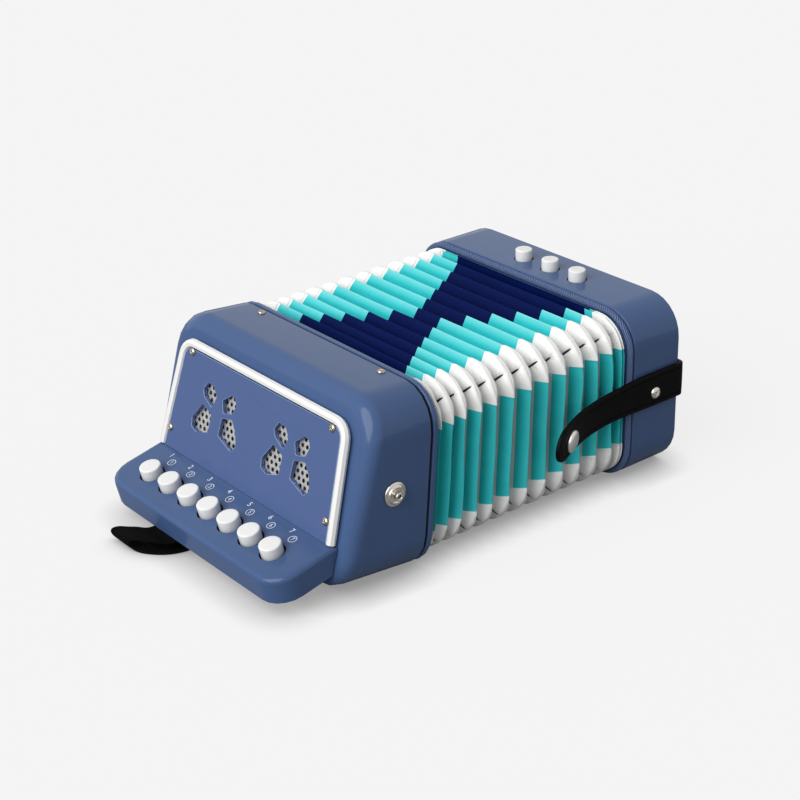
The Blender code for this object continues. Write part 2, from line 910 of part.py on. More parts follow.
def make_housing_screws(housing, board):
    screws = []
    upside_down = Matrix.Rotation(math.pi, 4, "X")
    for side, side_name in ((-1, "right"), (1, "left")):
        y = side * screw_spacing / 2
        top = treble_frame @ translation(-screw_setback, y, end_height)
        bottom = treble_frame @ translation(-screw_setback, y, counterbore_depth) @ upside_down
        recess = prism("screw_recess", disc_outline(screw_head_radius + 2 * gap), 0, overrun, bottom)
        carve(housing, recess)
        top_length = wall + gap + screw_bite
        for level, place, length in (
            ("top", top, top_length), ("bottom", bottom, top_length - counterbore_depth),
        ):
            for target in (housing, board):
                screw_hole(target, place, screw_shank_radius + gap, length + gap)
            screws.append(nickel(small_screw(f"housing_screw_{level}_{side_name}", place, length)))
    return screws


# Press studs on both sides of the treble housing

def press_stud(name, frame):
    # A domed flange with a ring round a deep well, and a waisted hollow knob in the middle
    foot = gap
    well = foot + stud_well_height
    ring_top = foot + stud_ring_height
    well_radius = (stud_ring_radius + stud_knob_radius) / 2
    profile = (
        (0, -wall),
        (stud_shank_radius, -wall),
        (stud_shank_radius, foot),
        (stud_flange_radius, foot),
        (stud_flange_radius, foot + 0.7 * mm),
        (stud_ring_radius, foot + 0.9 * mm),
        (stud_ring_radius * 0.9, ring_top - 0.1 * mm),
        (well_radius, ring_top),
        (well_radius * 0.85, well),
        (stud_knob_radius * 0.95, well),
        (stud_knob_radius * 0.85, stud_rise - stud_knob_lip),
        (stud_knob_radius, stud_rise - 0.4 * mm),
        (stud_knob_radius * 0.85, stud_rise),
        (stud_knob_radius * 0.45, stud_rise),
        (stud_knob_radius * 0.4, well),
        (0, well),
    )
    return nickel(turned(name, profile, frame, stud_steps))


def make_press_studs(housing):
    studs = []
    for side, side_name in ((-1, "near"), (1, "far")):
        seat = treble_frame @ translation(-stud_setback, side * end_width / 2, stud_height)
        place = seat @ Matrix.Rotation(-side * math.pi / 2, 4, "X")
        screw_hole(housing, place, stud_shank_radius + gap, wall + gap)
        studs.append(press_stud(f"press_stud_{side_name}", place))
    return studs


# Bellows: a pleated tube whose rings run from the tilted treble frame to the upright bass frame

def fold_shares():
    shares = []
    for i in range(open_folds):
        swell = fold_swell * math.sin(math.pi * i / (open_folds - 1))
        shares.append(first_fold_share + fold_growth * i + swell)
    return shares + [closed_fold_share] * closed_folds


def bellows_ring(place, inset):
    start_x = treble_overhang + gap
    end_x = bellows_span - gap
    points = []
    for y, z in end_outline(inset, 4):
        first = treble_frame @ Vector((start_x, y, z))
        last = Vector((end_x, y, z))
        points.append(first.lerp(last, place))
    return points


def bellows_rings(wall_inset, crest_shifts):
    shares = fold_shares()
    valley_inset = crest_inset + fold_depth + wall_inset
    rings = [bellows_ring(0, valley_inset)]
    position = 0
    for share in shares:
        for shift in crest_shifts:
            place = (position + share * (0.5 + shift)) / sum(shares)
            rings.append(bellows_ring(place, crest_inset + wall_inset))
        position += share
        rings.append(bellows_ring(position / sum(shares), valley_inset))
    return rings


def make_bellows():
    outer = bellows_rings(0, (-crest_flat_share / 2, crest_flat_share / 2))
    inner = bellows_rings(bellows_wall, (0,))
    return turquoise_cloth(loft("bellows", outer + inner[::-1], Matrix.Identity(4), True))


# Bass end: rope trim, bellows frame and moulded housing

bass_start = bass_frame_thickness + gap
bass_outer_x = bellows_span + bass_depth
bass_button_x = bellows_span + bass_button_setback
bass_sides = [
    bass_button_shift + (i - (bass_button_count - 1) / 2) * bass_button_pitch
    for i in range(bass_button_count)
]


def make_rope_trim():
    path = end_outline(rope_radius, 8)
    return blue_plastic(tube("rope_trim", path, rope_radius, rope_radius, bass_rear_frame, cyclic=True))


def make_bass_bellows_frame():
    return blue_plastic(flat_ring(
        "bass_bellows_frame", end_outline(2 * rope_radius + gap), end_outline(frame_border),
        0, bass_frame_thickness, bass_rear_frame,
    ))


def make_bass_housing():
    rings = []
    for along, shrink in (
        (bass_start, bass_rounding), (bass_start + 0.3 * bass_rounding, 0.3 * bass_rounding),
        (bass_start + bass_rounding, 0), (bass_depth - bass_rounding, 0),
        (bass_depth - 0.3 * bass_rounding, 0.3 * bass_rounding), (bass_depth, bass_rounding),
    ):
        rings.append([(y, z, along) for y, z in end_outline(shrink, 7)])
    housing = loft("bass_housing", rings, bass_rear_frame)
    cavity = prism("bass_cavity", end_outline(wall), -overrun, bass_depth - wall, bass_rear_frame)
    carve(housing, cavity)
    hole_radius = bass_button_radius + bass_button_clearance
    holes = [disc_outline(hole_radius, round_steps, (0, y)) for y in bass_sides]
    top_frame = translation(bass_button_x, 0, end_height)
    carve(housing, prisms("bass_button_holes", holes, -2 * wall, 2 * wall, top_frame))
    add_axle_ears(housing)
    return blue_plastic(housing)


# Reed board of the bass end, and the cranks that turn a button's stroke into the lift of a pad

board_start = bass_start + gap
bass_pad_height = crank_axle_height - crank_pad_drop
crank_axle_x = bellows_span + crank_axle_setback
crank_axle_half = max(abs(y) for y in bass_sides) + crank_axle_overhang
crank_pad_face = bellows_span + board_start + board_thickness + gap
crank_holder = crank_pad_face + pad_thickness


def make_bass_reeds():
    holes = [(y, bass_pad_height) for y in bass_sides]
    board = reed_board(
        "bass_reed_board", bass_rear_frame, board_start, board_start + board_thickness, holes
    )
    plate = reed_plate(
        "bass_reed_plate", bass_rear_frame, board_start - gap - reed_plate_thickness,
        board_start - gap, bass_sides[1:], bass_pad_height,
    )
    return board, plate


def crank_clearance():
    return axle_prism(
        "crank_clearance", axle_radius + gap, side_inside - gap,
        crank_axle_x, crank_axle_height, Matrix.Identity(4),
    )


def add_axle_ears(housing):
    # Ears on the outer wall carry the ends of the crank axle
    for side in (-1, 1):
        ear_y = side * (crank_axle_half - ear_inset)
        frame = translation(crank_axle_x, ear_y, crank_axle_height) @ side_profile_frame
        root = bass_outer_x - wall / 2 - crank_axle_x
        outline = [(root, -hub_radius), (root, hub_radius)]
        outline += arc(0, 0, hub_radius, math.pi / 2, 3 * math.pi / 2, 8)
        carve(housing, prism("crank_ear", outline, -ear_thickness / 2, ear_thickness / 2, frame), "UNION")
    carve(housing, crank_clearance())


def make_crank_axle():
    return nickel(axle_prism(
        "crank_axle", axle_radius, crank_axle_half, crank_axle_x, crank_axle_height, Matrix.Identity(4)
    ))


def crank_outline():
    holder_back = crank_holder + holder_thickness
    x = crank_axle_x
    z = crank_axle_height
    return [
        (x - crank_reach, z + crank_arm_top),
        (x - crank_reach, z - crank_arm_bottom),
        (x - 2 * hub_radius, z - crank_arm_bottom),
        (holder_back - 0.4 * holder_thickness, bass_pad_height + pad_radius * 0.6),
        (holder_back, bass_pad_height + pad_radius),
        (crank_holder, bass_pad_height + pad_radius),
        (crank_holder, bass_pad_height - pad_radius),
        (holder_back, bass_pad_height - pad_radius),
        (holder_back + 0.3 * holder_thickness, bass_pad_height),
        (x + 0.75 * hub_radius, z - 0.75 * hub_radius),
        (x + hub_radius, z),
        (x + 0.7 * hub_radius, z + 0.75 * hub_radius),
        (x - 0.5 * hub_radius, z + 0.9 * hub_radius),
        (x - 1.2 * hub_radius, z + crank_arm_top),
    ]


def make_crank(name, y):
    pivot = pivot_empty(f"{name}_pivot", (crank_axle_x, y, crank_axle_height), bass_end)
    crank_frame = translation(0, y, 0) @ side_profile_frame
    crank = prism(name, crank_outline(), -lever_width / 2, lever_width / 2, crank_frame)
    pad_start = (crank_holder + pad_bond, y, bass_pad_height)
    pad_end = (crank_pad_face, y, bass_pad_height)
    carve(crank, cylinder_between(f"{name}_pad_shape", pad_radius * 0.95, pad_start, pad_end), "UNION")
    carve(crank, crank_clearance())
    attach(dark_plastic(crank), pivot)


def make_bass_button(name, y):
    # A cap on a stem that stands on the crank's arm
    stem_end = crank_axle_height + crank_arm_top + gap - end_height
    cap_bottom = bass_button_rise - bass_button_height
    profile = (
        (0, stem_end),
        (stem_radius, stem_end),
        (stem_radius, cap_bottom),
        (bass_button_radius, cap_bottom),
        (bass_button_radius, bass_button_rise - button_edge),
        (bass_button_radius - 0.3 * button_edge, bass_button_rise - 0.3 * button_edge),
        (bass_button_radius - button_edge, bass_button_rise),
        (0, bass_button_rise),
    )
    button = turned(name, profile, translation(bass_button_x, y, end_height))
    attach(white_plastic(button), bass_end)


def make_crank_springs():
    back = translation(
        bellows_span + board_start + board_thickness, 0, crank_axle_height - crank_spring_drop
    )
    return comb_spring(
        "crank_springs", back, bass_sides, gap, crank_spring_root, crank_spring_tip,
        0, crank_spring_drop - crank_arm_bottom - gap,
    )


# Hand strap round the outer face of the bass end, with a hinged tail at each screw

side_face = end_width / 2
strap_screw_x = bellows_span + strap_screw_setback
tail_root_radius = hand_strap_width / 2


def strap_centre_line():
    # Plan of the strap's middle surface from the near screw round the end to the far screw
    off = gap + leather / 2
    bend = hand_strap_bend
    edge_y = side_face + off - bend
    points = [(strap_screw_x, -side_face - off), (bass_outer_x + off - bend, -side_face - off)]
    points += [
        (bass_outer_x + off - bend + bend * math.sin(a), -edge_y - bend * math.cos(a))
        for a in (math.radians(30), math.radians(60))
    ]
    count = 14
    for i in range(count + 1):
        t = i / count
        bow = hand_strap_bow * smoothstep(0, 0.45, min(t, 1 - t))
        points.append((bass_outer_x + off + bow, edge_y * (2 * t - 1)))
    return points + [(x, -y) for x, y in points[3::-1]]


def band_rings(centre, half_thickness, low, high):
    rings = []
    for i, (x, y) in enumerate(centre):
        before = Vector(centre[max(i - 1, 0)])
        after = Vector(centre[min(i + 1, len(centre) - 1)])
        along = (after - before).normalized()
        across = Vector((along.y, -along.x)) * half_thickness
        rings.append([
            (x + across.x, y + across.y, low), (x + across.x, y + across.y, high),
            (x - across.x, y - across.y, high), (x - across.x, y - across.y, low),
        ])
    return rings


def make_hand_strap():
    low = hand_strap_height - hand_strap_width / 2
    high = hand_strap_height + hand_strap_width / 2
    rings = band_rings(strap_centre_line(), leather / 2, low, high)
    strap = loft("hand_strap", rings, Matrix.Identity(4))
    root_frame = frame_from_axes((strap_screw_x, 0, hand_strap_height), (1, 0, 0), (0, 0, -1), (0, 1, 0))
    root_outline = disc_outline(tail_root_radius + root_clearance, 32)
    reach = side_face + overrun
    carve(strap, prism("tail_root_clearance", root_outline, -reach, reach, root_frame))
    return black_leather(strap)


def tail_height(along):
    return hand_strap_height - tail_drop * max(along / tail_length, 0) ** tail_droop_power


def tail_half_width(along):
    # A round root, a slightly narrower band and a round tip
    tip_radius = tail_width / 2
    past_tip_centre = along - (tail_length - tip_radius)
    if along < 0:
        half = math.sqrt(max(tail_root_radius ** 2 - along ** 2, leather ** 2))
    elif past_tip_centre > 0:
        half = math.sqrt(max(tip_radius ** 2 - past_tip_centre ** 2, leather ** 2))
    else:
        narrowing = smoothstep(0, 2 * hand_strap_width, along)
        half = tail_root_radius + (tip_radius - tail_root_radius) * narrowing
    return half


def tail_stations():
    tip_radius = tail_width / 2
    quarter = math.pi / 2
    root = [-tail_root_radius * math.cos(quarter * i / 4) for i in range(4)]
    run = tail_length - tip_radius
    middle = [run * i / 10 for i in range(11)]
    tip = [run + tip_radius * math.sin(quarter * i / 4) for i in range(1, 5)]
    return root + middle + tip


def make_strap_tail(side, side_name):
    off = gap + leather / 2
    rings = []
    for along in tail_stations():
        lift = tail_lift * smoothstep(0.3 * tail_length, 0.7 * tail_length, along)
        x = strap_screw_x - along
        y = side * (side_face + off + lift)
        middle = tail_height(along)
        half = tail_half_width(along)
        rings.append([
            (x, y - leather / 2, middle - half), (x, y - leather / 2, middle + half),
            (x, y + leather / 2, middle + half), (x, y + leather / 2, middle - half),
        ])
    return loft(f"strap_tail_{side_name}", rings, Matrix.Identity(4))


def snap_cap(name, frame):
    # Cap outside the leather and socket inside it, joined by the rivet stem through the hole
    inside = -leather - gap
    profile = (
        (0, inside - socket_depth + socket_roof),
        (socket_bore, inside - socket_depth + socket_roof),
        (socket_bore, inside - socket_depth),
        (socket_radius * 0.96, inside - socket_depth),
        (socket_radius, inside),
        (cap_stem_radius, inside),
        (cap_stem_radius, gap),
        (cap_radius, gap),
        (cap_radius * 0.95, gap + cap_height * 0.35),
        (cap_radius * 0.7, gap + cap_height * 0.75),
        (cap_radius * 0.35, gap + cap_height * 0.95),
        (0, gap + cap_height),
    )
    return nickel(turned(name, profile, frame))


def make_strap_end(side, side_name, housing):
    # Tail, snap cap and screw of one side
    pivot = pivot_empty(
        f"strap_pivot_{side_name}", (strap_screw_x, side * side_face, strap_screw_height), bass_end
    )
    outwards = Matrix.Rotation(-side * math.pi / 2, 4, "X")
    strap_face = side_face + gap + leather
    screw_place = translation(strap_screw_x, side * strap_face, strap_screw_height) @ outwards
    cap_place = translation(
        strap_screw_x - cap_distance, side * (strap_face + tail_lift), tail_height(cap_distance)
    ) @ outwards
    tail = make_strap_tail(side, side_name)
    length = gap + leather + wall
    screw_hole(tail, screw_place, strap_screw_shank + gap, length)
    screw_hole(housing, screw_place, strap_screw_shank + gap, length + gap)
    screw_hole(tail, cap_place, cap_stem_radius + gap, leather + 2 * gap)
    screw = domed_screw(
        f"strap_screw_{side_name}", screw_place, strap_screw_radius, strap_screw_head,
        strap_screw_shank, length,
    )
    attach(nickel(screw), bass_end)
    attach(black_leather(tail), pivot)
    attach(snap_cap(f"snap_cap_{side_name}", cap_place), pivot)


# Thumb strap: a band under the shelf, bent round into a loop that the end presses flat on the floor

def strap_seat(x):
    under = shelf_frame.to_3x3() @ Vector((0, 0, 1))
    plane_point = shelf_frame @ Vector((0, 0, -shelf_thickness - gap))
    return plane_point.z - under.x * (x - plane_point.x) / under.z


def thumb_strap_path():
    # From the upper end under the shelf, round the bend and back along the floor to the lower end
    points = []
    bend_radius = thumb_strap_height / 2
    straight = thumb_strap_reach - bend_radius
    steps = 10
    for i in range(steps):
        reach = thumb_strap_root + (straight - thumb_strap_root) * i / steps
        drop = smoothstep(thumb_strap_bend, thumb_strap_free, reach)
        seat = strap_seat(-reach)
        points.append((-reach, seat + (thumb_strap_height - seat) * drop))
    for i in range(steps + 1):
        angle = math.pi * i / steps
        points.append((
            -straight - bend_radius * math.sin(angle), bend_radius + bend_radius * math.cos(angle),
        ))
    for i in range(1, steps + 1):
        reach = straight + (thumb_strap_root - straight) * i / steps
        rise = 1 - smoothstep(thumb_strap_root, thumb_strap_lift, reach)
        points.append((-reach, rise * (strap_seat(-reach) - 2 * thumb_strap_thickness - gap)))
    return points


def thumb_strap_rings():
    points = thumb_strap_path()
    rings = []
    for i, (x, z) in enumerate(points):
        before_x, before_z = points[max(i - 1, 0)]
        after_x, after_z = points[min(i + 1, len(points) - 1)]
        step = math.hypot(after_x - before_x, after_z - before_z)
        inner_x = x - (after_z - before_z) * thumb_strap_thickness / step
        inner_z = z + (after_x - before_x) * thumb_strap_thickness / step
        out = max((-x - thumb_strap_root) / (thumb_strap_reach - thumb_strap_root), 0)
        low_y = thumb_strap_low_side + thumb_strap_low_sweep * out ** 4
        high_y = thumb_strap_high_side + thumb_strap_high_sweep * out ** 4
        rings.append([(x, low_y, z), (x, high_y, z), (inner_x, high_y, inner_z), (inner_x, low_y, inner_z)])
    return rings


def make_thumb_strap():
    return black_leather(loft("thumb_strap", thumb_strap_rings(), Matrix.Identity(4)))


# Treble end

treble_housing = make_treble_housing()
grille_plate = make_grille_plate()
treble_board, treble_plate = make_treble_reeds()
treble_pieces = [
    treble_housing, grille_plate, make_grille_mesh(), make_grille_piping(),
    make_keyboard_shelf(), make_shelf_underplate(), make_key_axle(), make_key_springs(),
    treble_board, treble_plate, make_treble_gasket(), make_treble_bellows_frame(), make_thumb_strap(),
]
treble_pieces += make_grille_screws(grille_plate, treble_housing)
treble_pieces += make_housing_screws(treble_housing, treble_board)
treble_pieces += make_press_studs(treble_housing)
for number, right in enumerate(button_sides, start=1):
    make_melody_key(number, right)

# Bellows
make_bellows()

# Bass end
bass_housing = make_bass_housing()
bass_pieces = [
    make_rope_trim(), make_bass_bellows_frame(), bass_housing, make_crank_axle(),
    make_crank_springs(), make_hand_strap(), *make_bass_reeds(),
]
button_names = ("air_button", "bass_button_1", "bass_button_2")
crank_names = ("air_crank", "bass_crank_1", "bass_crank_2")
for y, button_name, crank_name in zip(bass_sides, button_names, crank_names):
    make_bass_button(button_name, y)
    make_crank(crank_name, y)
for side, side_name in ((-1, "near"), (1, "far")):
    make_strap_end(side, side_name, bass_housing)

# Each piece that has no pivot of its own stays with its end
bpy.context.view_layer.update()
for piece in treble_pieces:
    attach(piece, treble_end)
for piece in bass_pieces:
    attach(piece, bass_end)

# The origin goes to the middle of the overall length, at floor level
accordion = bpy.data.objects.new("accordion", None)
bpy.context.scene.collection.objects.link(accordion)
for solid in bpy.context.scene.objects:
    if solid.parent is None and solid is not accordion:
        solid.parent = accordion
low_x = -thumb_strap_reach
high_x = bass_outer_x + gap + leather + hand_strap_bow
accordion.location.x = -(low_x + high_x) / 2
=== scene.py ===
import math
import random

import bmesh
import bpy
from mathutils import Matrix, Vector, noise


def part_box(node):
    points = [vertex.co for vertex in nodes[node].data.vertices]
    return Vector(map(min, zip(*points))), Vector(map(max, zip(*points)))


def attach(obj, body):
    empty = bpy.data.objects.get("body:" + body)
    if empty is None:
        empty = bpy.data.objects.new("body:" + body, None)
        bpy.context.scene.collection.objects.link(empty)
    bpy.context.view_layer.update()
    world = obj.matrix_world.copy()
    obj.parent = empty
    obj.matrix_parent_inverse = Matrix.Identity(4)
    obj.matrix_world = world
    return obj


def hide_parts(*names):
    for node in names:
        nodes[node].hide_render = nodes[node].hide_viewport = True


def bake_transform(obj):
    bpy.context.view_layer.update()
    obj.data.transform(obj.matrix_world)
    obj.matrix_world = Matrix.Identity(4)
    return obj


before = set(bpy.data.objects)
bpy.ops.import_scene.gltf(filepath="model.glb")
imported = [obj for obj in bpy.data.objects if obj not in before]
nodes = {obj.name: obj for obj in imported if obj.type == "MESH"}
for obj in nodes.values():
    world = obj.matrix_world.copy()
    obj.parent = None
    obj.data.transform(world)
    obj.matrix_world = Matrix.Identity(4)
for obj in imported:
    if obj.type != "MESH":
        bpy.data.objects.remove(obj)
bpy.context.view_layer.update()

mm = 0.001
print("stage: frame loaded,", len(nodes), "nodes")


# Places shared by several pieces, as the model has them
layout = {
    "shift": -44.15 * mm,  # the treble end's rear plane, from the middle of the length
    "lift": 0.373 * mm,
    "pitch": math.radians(5.1),
    "frontReach": 49 * mm,
    "frontTilt": math.radians(11.2),
    "shelfHeight": 22.4 * mm,
    "shelfSlope": math.radians(17.8),
    "overhang": 4.2 * mm,
    "span": 124.8 * mm,
    "halfWidth": 75 * mm,
    "height": 85 * mm,
    "gap": 0.3 * mm,
}


def axesMatrix(origin, first, second, third):
    columns = Matrix((first, second, third)).transposed().to_4x4()
    return Matrix.Translation(origin) @ columns


trebleMatrix = (
    Matrix.Translation((layout["shift"], 0, layout["lift"])) @ Matrix.Rotation(layout["pitch"], 4, "Y")
)
frontUp = Vector((math.sin(layout["frontTilt"]), 0, math.cos(layout["frontTilt"])))
frontOut = Vector((-math.cos(layout["frontTilt"]), 0, math.sin(layout["frontTilt"])))
frontCorner = Vector((-layout["frontReach"], 0, 0))
frontMatrix = trebleMatrix @ axesMatrix(frontCorner, (0, -1, 0), frontUp, frontOut)
shelfOut = Vector((-math.cos(layout["shelfSlope"]), 0, -math.sin(layout["shelfSlope"])))
shelfUp = Vector((-math.sin(layout["shelfSlope"]), 0, math.cos(layout["shelfSlope"])))
shelfCorner = frontCorner + frontUp * layout["shelfHeight"]
shelfMatrix = trebleMatrix @ axesMatrix(shelfCorner, shelfOut, (0, -1, 0), shelfUp)
bassX = layout["shift"] + layout["span"]


# Colour and node helpers

def linearFromHex(code):
    channels = []
    for i in (0, 2, 4):
        value = int(code[i:i + 2], 16) / 255
        channels.append(value / 12.92 if value <= 0.04045 else ((value + 0.055) / 1.055) ** 2.4)
    return (*channels, 1)


def addNode(tree, kind, settings=None, links=None, feeds=None):
    # Links run into the node and feeds run on from its outputs, which it also gives back
    node = tree.nodes.new(kind)
    for key, value in (settings or {}).items():
        if isinstance(key, int) or key in node.inputs:
            node.inputs[key].default_value = value
        else:
            setattr(node, key, value)
    for key, socket in (links or {}).items():
        tree.links.new(socket, node.inputs[key])
    for key, socket in (feeds or {}).items():
        tree.links.new(node.outputs[key], socket)
    return node.outputs


def startMaterial(name, low, high, values):
    # Gives the shader's inputs, the base colour's two tones and the object's own coordinates too
    material = bpy.data.materials.new(name)
    material.use_nodes = True
    tree = material.node_tree
    shader = tree.nodes["Principled BSDF"].inputs
    for key, value in values.items():
        shader[key].default_value = value
    tones = {"data_type": "RGBA", 6: linearFromHex(low), 7: linearFromHex(high)}
    point = {"Vector": addNode(tree, "ShaderNodeTexCoord")["Object"]}
    return material, tree, shader, tones, point


# Materials. Lengths are in metres here too, and mm turns them from millimetres

def mouldedAbs(name, low, high, roughness):
    # ABS, injection moulded in a polished tool: a clear gloss with a faint ripple and hairline scuffs
    material, tree, shader, tones, point = startMaterial(
        name, low, high, {"IOR": 1.54, "Specular IOR Level": 0.2},
    )
    cloud = addNode(tree, "ShaderNodeTexNoise", {"Scale": 1 / (38 * mm), "Detail": 3}, point)
    addNode(tree, "ShaderNodeMix", tones, {0: cloud[0]}, {2: shader["Base Color"]})
    dust = addNode(tree, "ShaderNodeTexNoise", {"Scale": 1 / (2.2 * mm), "Detail": 6}, point)
    addNode(
        tree, "ShaderNodeMapRange", {3: roughness - 0.04, 4: roughness + 0.07}, {0: dust[0]},
        {0: shader["Roughness"]},
    )
    ripple = addNode(tree, "ShaderNodeTexNoise", {"Scale": 1 / (7 * mm), "Detail": 1}, point)
    wave = addNode(tree, "ShaderNodeBump", {"Distance": 0.015 * mm}, {"Height": ripple[0]})
    # Scuffs 0.25 mm wide and some mm long, wider than real ones so that they show
    stretched = addNode(
        tree, "ShaderNodeMapping",
        {"Scale": (1 / (9 * mm), 1 / (0.25 * mm), 1 / (5 * mm)), "Rotation": (0.4, 0.3, 0.5)}, point,
    )
    scuffs = addNode(tree, "ShaderNodeTexNoise", {"Scale": 1, "Detail": 2}, {"Vector": stretched[0]})
    sparse = addNode(tree, "ShaderNodeMapRange", {1: 0.7, 2: 0.76, 3: 0, 4: 1}, {0: scuffs[0]})
    addNode(
        tree, "ShaderNodeBump", {"Distance": 0.004 * mm}, {"Height": sparse[0], "Normal": wave[0]},
        {0: shader["Normal"]},
    )
    return material


def coatedCloth(name, low, high, highlightTone):
    # Polyester cloth with a thin coat, glued over card: a dry surface, a fine weave, with a painted
    # highlight along the crests
    material, tree, shader, tones, point = startMaterial(
        name, low, high, {"Roughness": 0.6, "Specular IOR Level": 0.05},
    )
    cloud = addNode(tree, "ShaderNodeTexNoise", {"Scale": 1 / (14 * mm), "Detail": 5}, point)
    dyed = addNode(tree, "ShaderNodeMix", tones, {0: cloud[0]})
    crest = addNode(tree, "ShaderNodeAttribute", {"attribute_name": "crest"})
    edge = addNode(tree, "ShaderNodeMapRange", {1: 0.55, 2: 1, 3: 0, 4: 0.5}, {0: crest["Fac"]})
    # Painted highlight: the colour turns paler towards the crests, and more so on the folds' upper sides,
    # standing in for sheen
    facing = addNode(tree, "ShaderNodeNewGeometry")
    parts = addNode(tree, "ShaderNodeSeparateXYZ", None, {0: facing["Normal"]})
    upper = addNode(tree, "ShaderNodeMapRange", {1: 0.1, 2: 0.7, 3: 0.15, 4: 1}, {0: parts[2]})
    paintedHighlight = addNode(tree, "ShaderNodeMath", {"operation": "MULTIPLY"}, {0: edge[0], 1: upper[0]})
    addNode(
        tree, "ShaderNodeMix", {"data_type": "RGBA", 7: linearFromHex(highlightTone)}, {0: paintedHighlight[0], 6: dyed[2]},
        {2: shader["Base Color"]},
    )
    # Threads 0.4 mm apart, the finest that still show; a wave node turns once in 0.314 / scale
    across, upright = [
        addNode(tree, "ShaderNodeTexWave", {"bands_direction": way, "Scale": 0.314 / (0.4 * mm)}, point)
        for way in ("Y", "Z")
    ]
    weave = addNode(tree, "ShaderNodeMath", {"operation": "ADD"}, {0: across[1], 1: upright[1]})
    fine = addNode(tree, "ShaderNodeBump", {"Distance": 0.01 * mm}, {"Height": weave[0]})
    creases = addNode(
        tree, "ShaderNodeTexNoise", {"Scale": 1 / (4 * mm), "Detail": 5, "Distortion": 0.6}, point,
    )
    addNode(
        tree, "ShaderNodeBump", {"Distance": 0.25 * mm}, {"Height": creases[0], "Normal": fine[0]},
        {0: shader["Normal"]},
    )
    return material


def leatherette(name, low, high, slitShadeAndGlueColour):
    # PU leatherette pulled over the corners: a satin skin with wrinkles that run into a pinch, with
    # painted shade in the pinch's slit and the deepest wrinkles
    material, tree, shader, tones, point = startMaterial(
        name, low, high, {"Roughness": 0.4, "Specular IOR Level": 0.35},
    )
    cloud = addNode(tree, "ShaderNodeTexNoise", {"Scale": 1 / (7 * mm), "Detail": 6}, point)
    skin = addNode(tree, "ShaderNodeMix", tones, {0: cloud[0]})
    # Wrinkles fan out from the pinch, closest together beside it; the deepest wrinkles and the slit get
    # painted shade
    pull = addNode(tree, "ShaderNodeAttribute", {"attribute_name": "pull"})
    parts = addNode(tree, "ShaderNodeSeparateXYZ", None, {0: pull["Vector"]})
    angle = addNode(tree, "ShaderNodeMath", {"operation": "ARCTAN2"}, {0: parts[0], 1: parts[1]})
    flat = addNode(tree, "ShaderNodeCombineXYZ", None, {0: parts[0], 1: parts[1]})
    reach = addNode(tree, "ShaderNodeVectorMath", {"operation": "LENGTH"}, {0: flat[0]})
    near = addNode(tree, "ShaderNodeMapRange", {1: 0.8, 2: 4.5, 3: 1, 4: 0}, {0: reach["Value"]})
    fan = addNode(tree, "ShaderNodeCombineXYZ", None, {0: angle[0], 1: parts[2]})
    streaks = addNode(tree, "ShaderNodeTexNoise", {"Scale": 5, "Detail": 5}, {"Vector": fan[0]})
    crease = addNode(tree, "ShaderNodeMapRange", {1: 0.36, 2: 0.4, 3: 0.8, 4: 0}, {0: streaks[0]})
    shade = addNode(tree, "ShaderNodeMath", {"operation": "MULTIPLY"}, {0: crease[0], 1: near[0]})
    slit = addNode(tree, "ShaderNodeAttribute", {"attribute_name": "slit"})
    sharp = addNode(tree, "ShaderNodeMapRange", {1: 0.22, 2: 0.4, 3: 0, 4: 0.98}, {0: slit["Fac"]})
    paintedShadeAndGlue = addNode(tree, "ShaderNodeMath", {"operation": "MAXIMUM"}, {0: shade[0], 1: sharp[0]})
    # Near-black colour: painted shade in the slit and the deepest wrinkles, and the glue spots at the
    # white corners' tips
    addNode(
        tree, "ShaderNodeMix", {"data_type": "RGBA", 7: linearFromHex(slitShadeAndGlueColour)},
        {0: paintedShadeAndGlue[0], 6: skin[2]}, {2: shader["Base Color"]},
    )
    grain = addNode(
        tree, "ShaderNodeTexVoronoi", {"feature": "DISTANCE_TO_EDGE", "Scale": 1 / (0.7 * mm)}, point,
    )
    cells = addNode(tree, "ShaderNodeMapRange", {1: 0, 2: 0.25}, {0: grain["Distance"]})
    fine = addNode(tree, "ShaderNodeBump", {"Distance": 0.015 * mm}, {"Height": cells[0]})
    fading = addNode(tree, "ShaderNodeMath", {"operation": "MULTIPLY"}, {0: streaks[0], 1: near[0]})
    radial = addNode(
        tree, "ShaderNodeBump", {"Distance": 0.45 * mm}, {"Height": fading[0], "Normal": fine[0]},
    )
    soft = addNode(
        tree, "ShaderNodeTexNoise", {"Scale": 1 / (4 * mm), "Detail": 4, "Distortion": 1}, point,
    )
    addNode(
        tree, "ShaderNodeBump", {"Distance": 0.18 * mm}, {"Height": soft[0], "Normal": radial[0]},
        {0: shader["Normal"]},
    )
    return material


def finishedLeather(name, low, high, roughness):
    # Coated split leather, rolled with a fine grain: a satin skin broken by small pebbles
    material, tree, shader, tones, point = startMaterial(name, low, high, {"Specular IOR Level": 0.06})
    pebbles = addNode(
        tree, "ShaderNodeTexVoronoi", {"feature": "DISTANCE_TO_EDGE", "Scale": 1 / (0.75 * mm)}, point,
    )
    cells = addNode(tree, "ShaderNodeMapRange", {1: 0, 2: 0.22}, {0: pebbles["Distance"]})
    cloud = addNode(tree, "ShaderNodeTexNoise", {"Scale": 1 / (9 * mm), "Detail": 5}, point)
    addNode(tree, "ShaderNodeMix", tones, {0: cloud[0]}, {2: shader["Base Color"]})
    addNode(
        tree, "ShaderNodeMapRange", {3: roughness - 0.06, 4: roughness + 0.1}, {0: cloud[0]},
        {0: shader["Roughness"]},
    )
    fine = addNode(tree, "ShaderNodeBump", {"Distance": 0.02 * mm}, {"Height": cells[0]})
    addNode(
        tree, "ShaderNodeBump", {"Distance": 0.3 * mm}, {"Height": cloud[0], "Normal": fine[0]},
        {0: shader["Normal"]},
    )
    return material


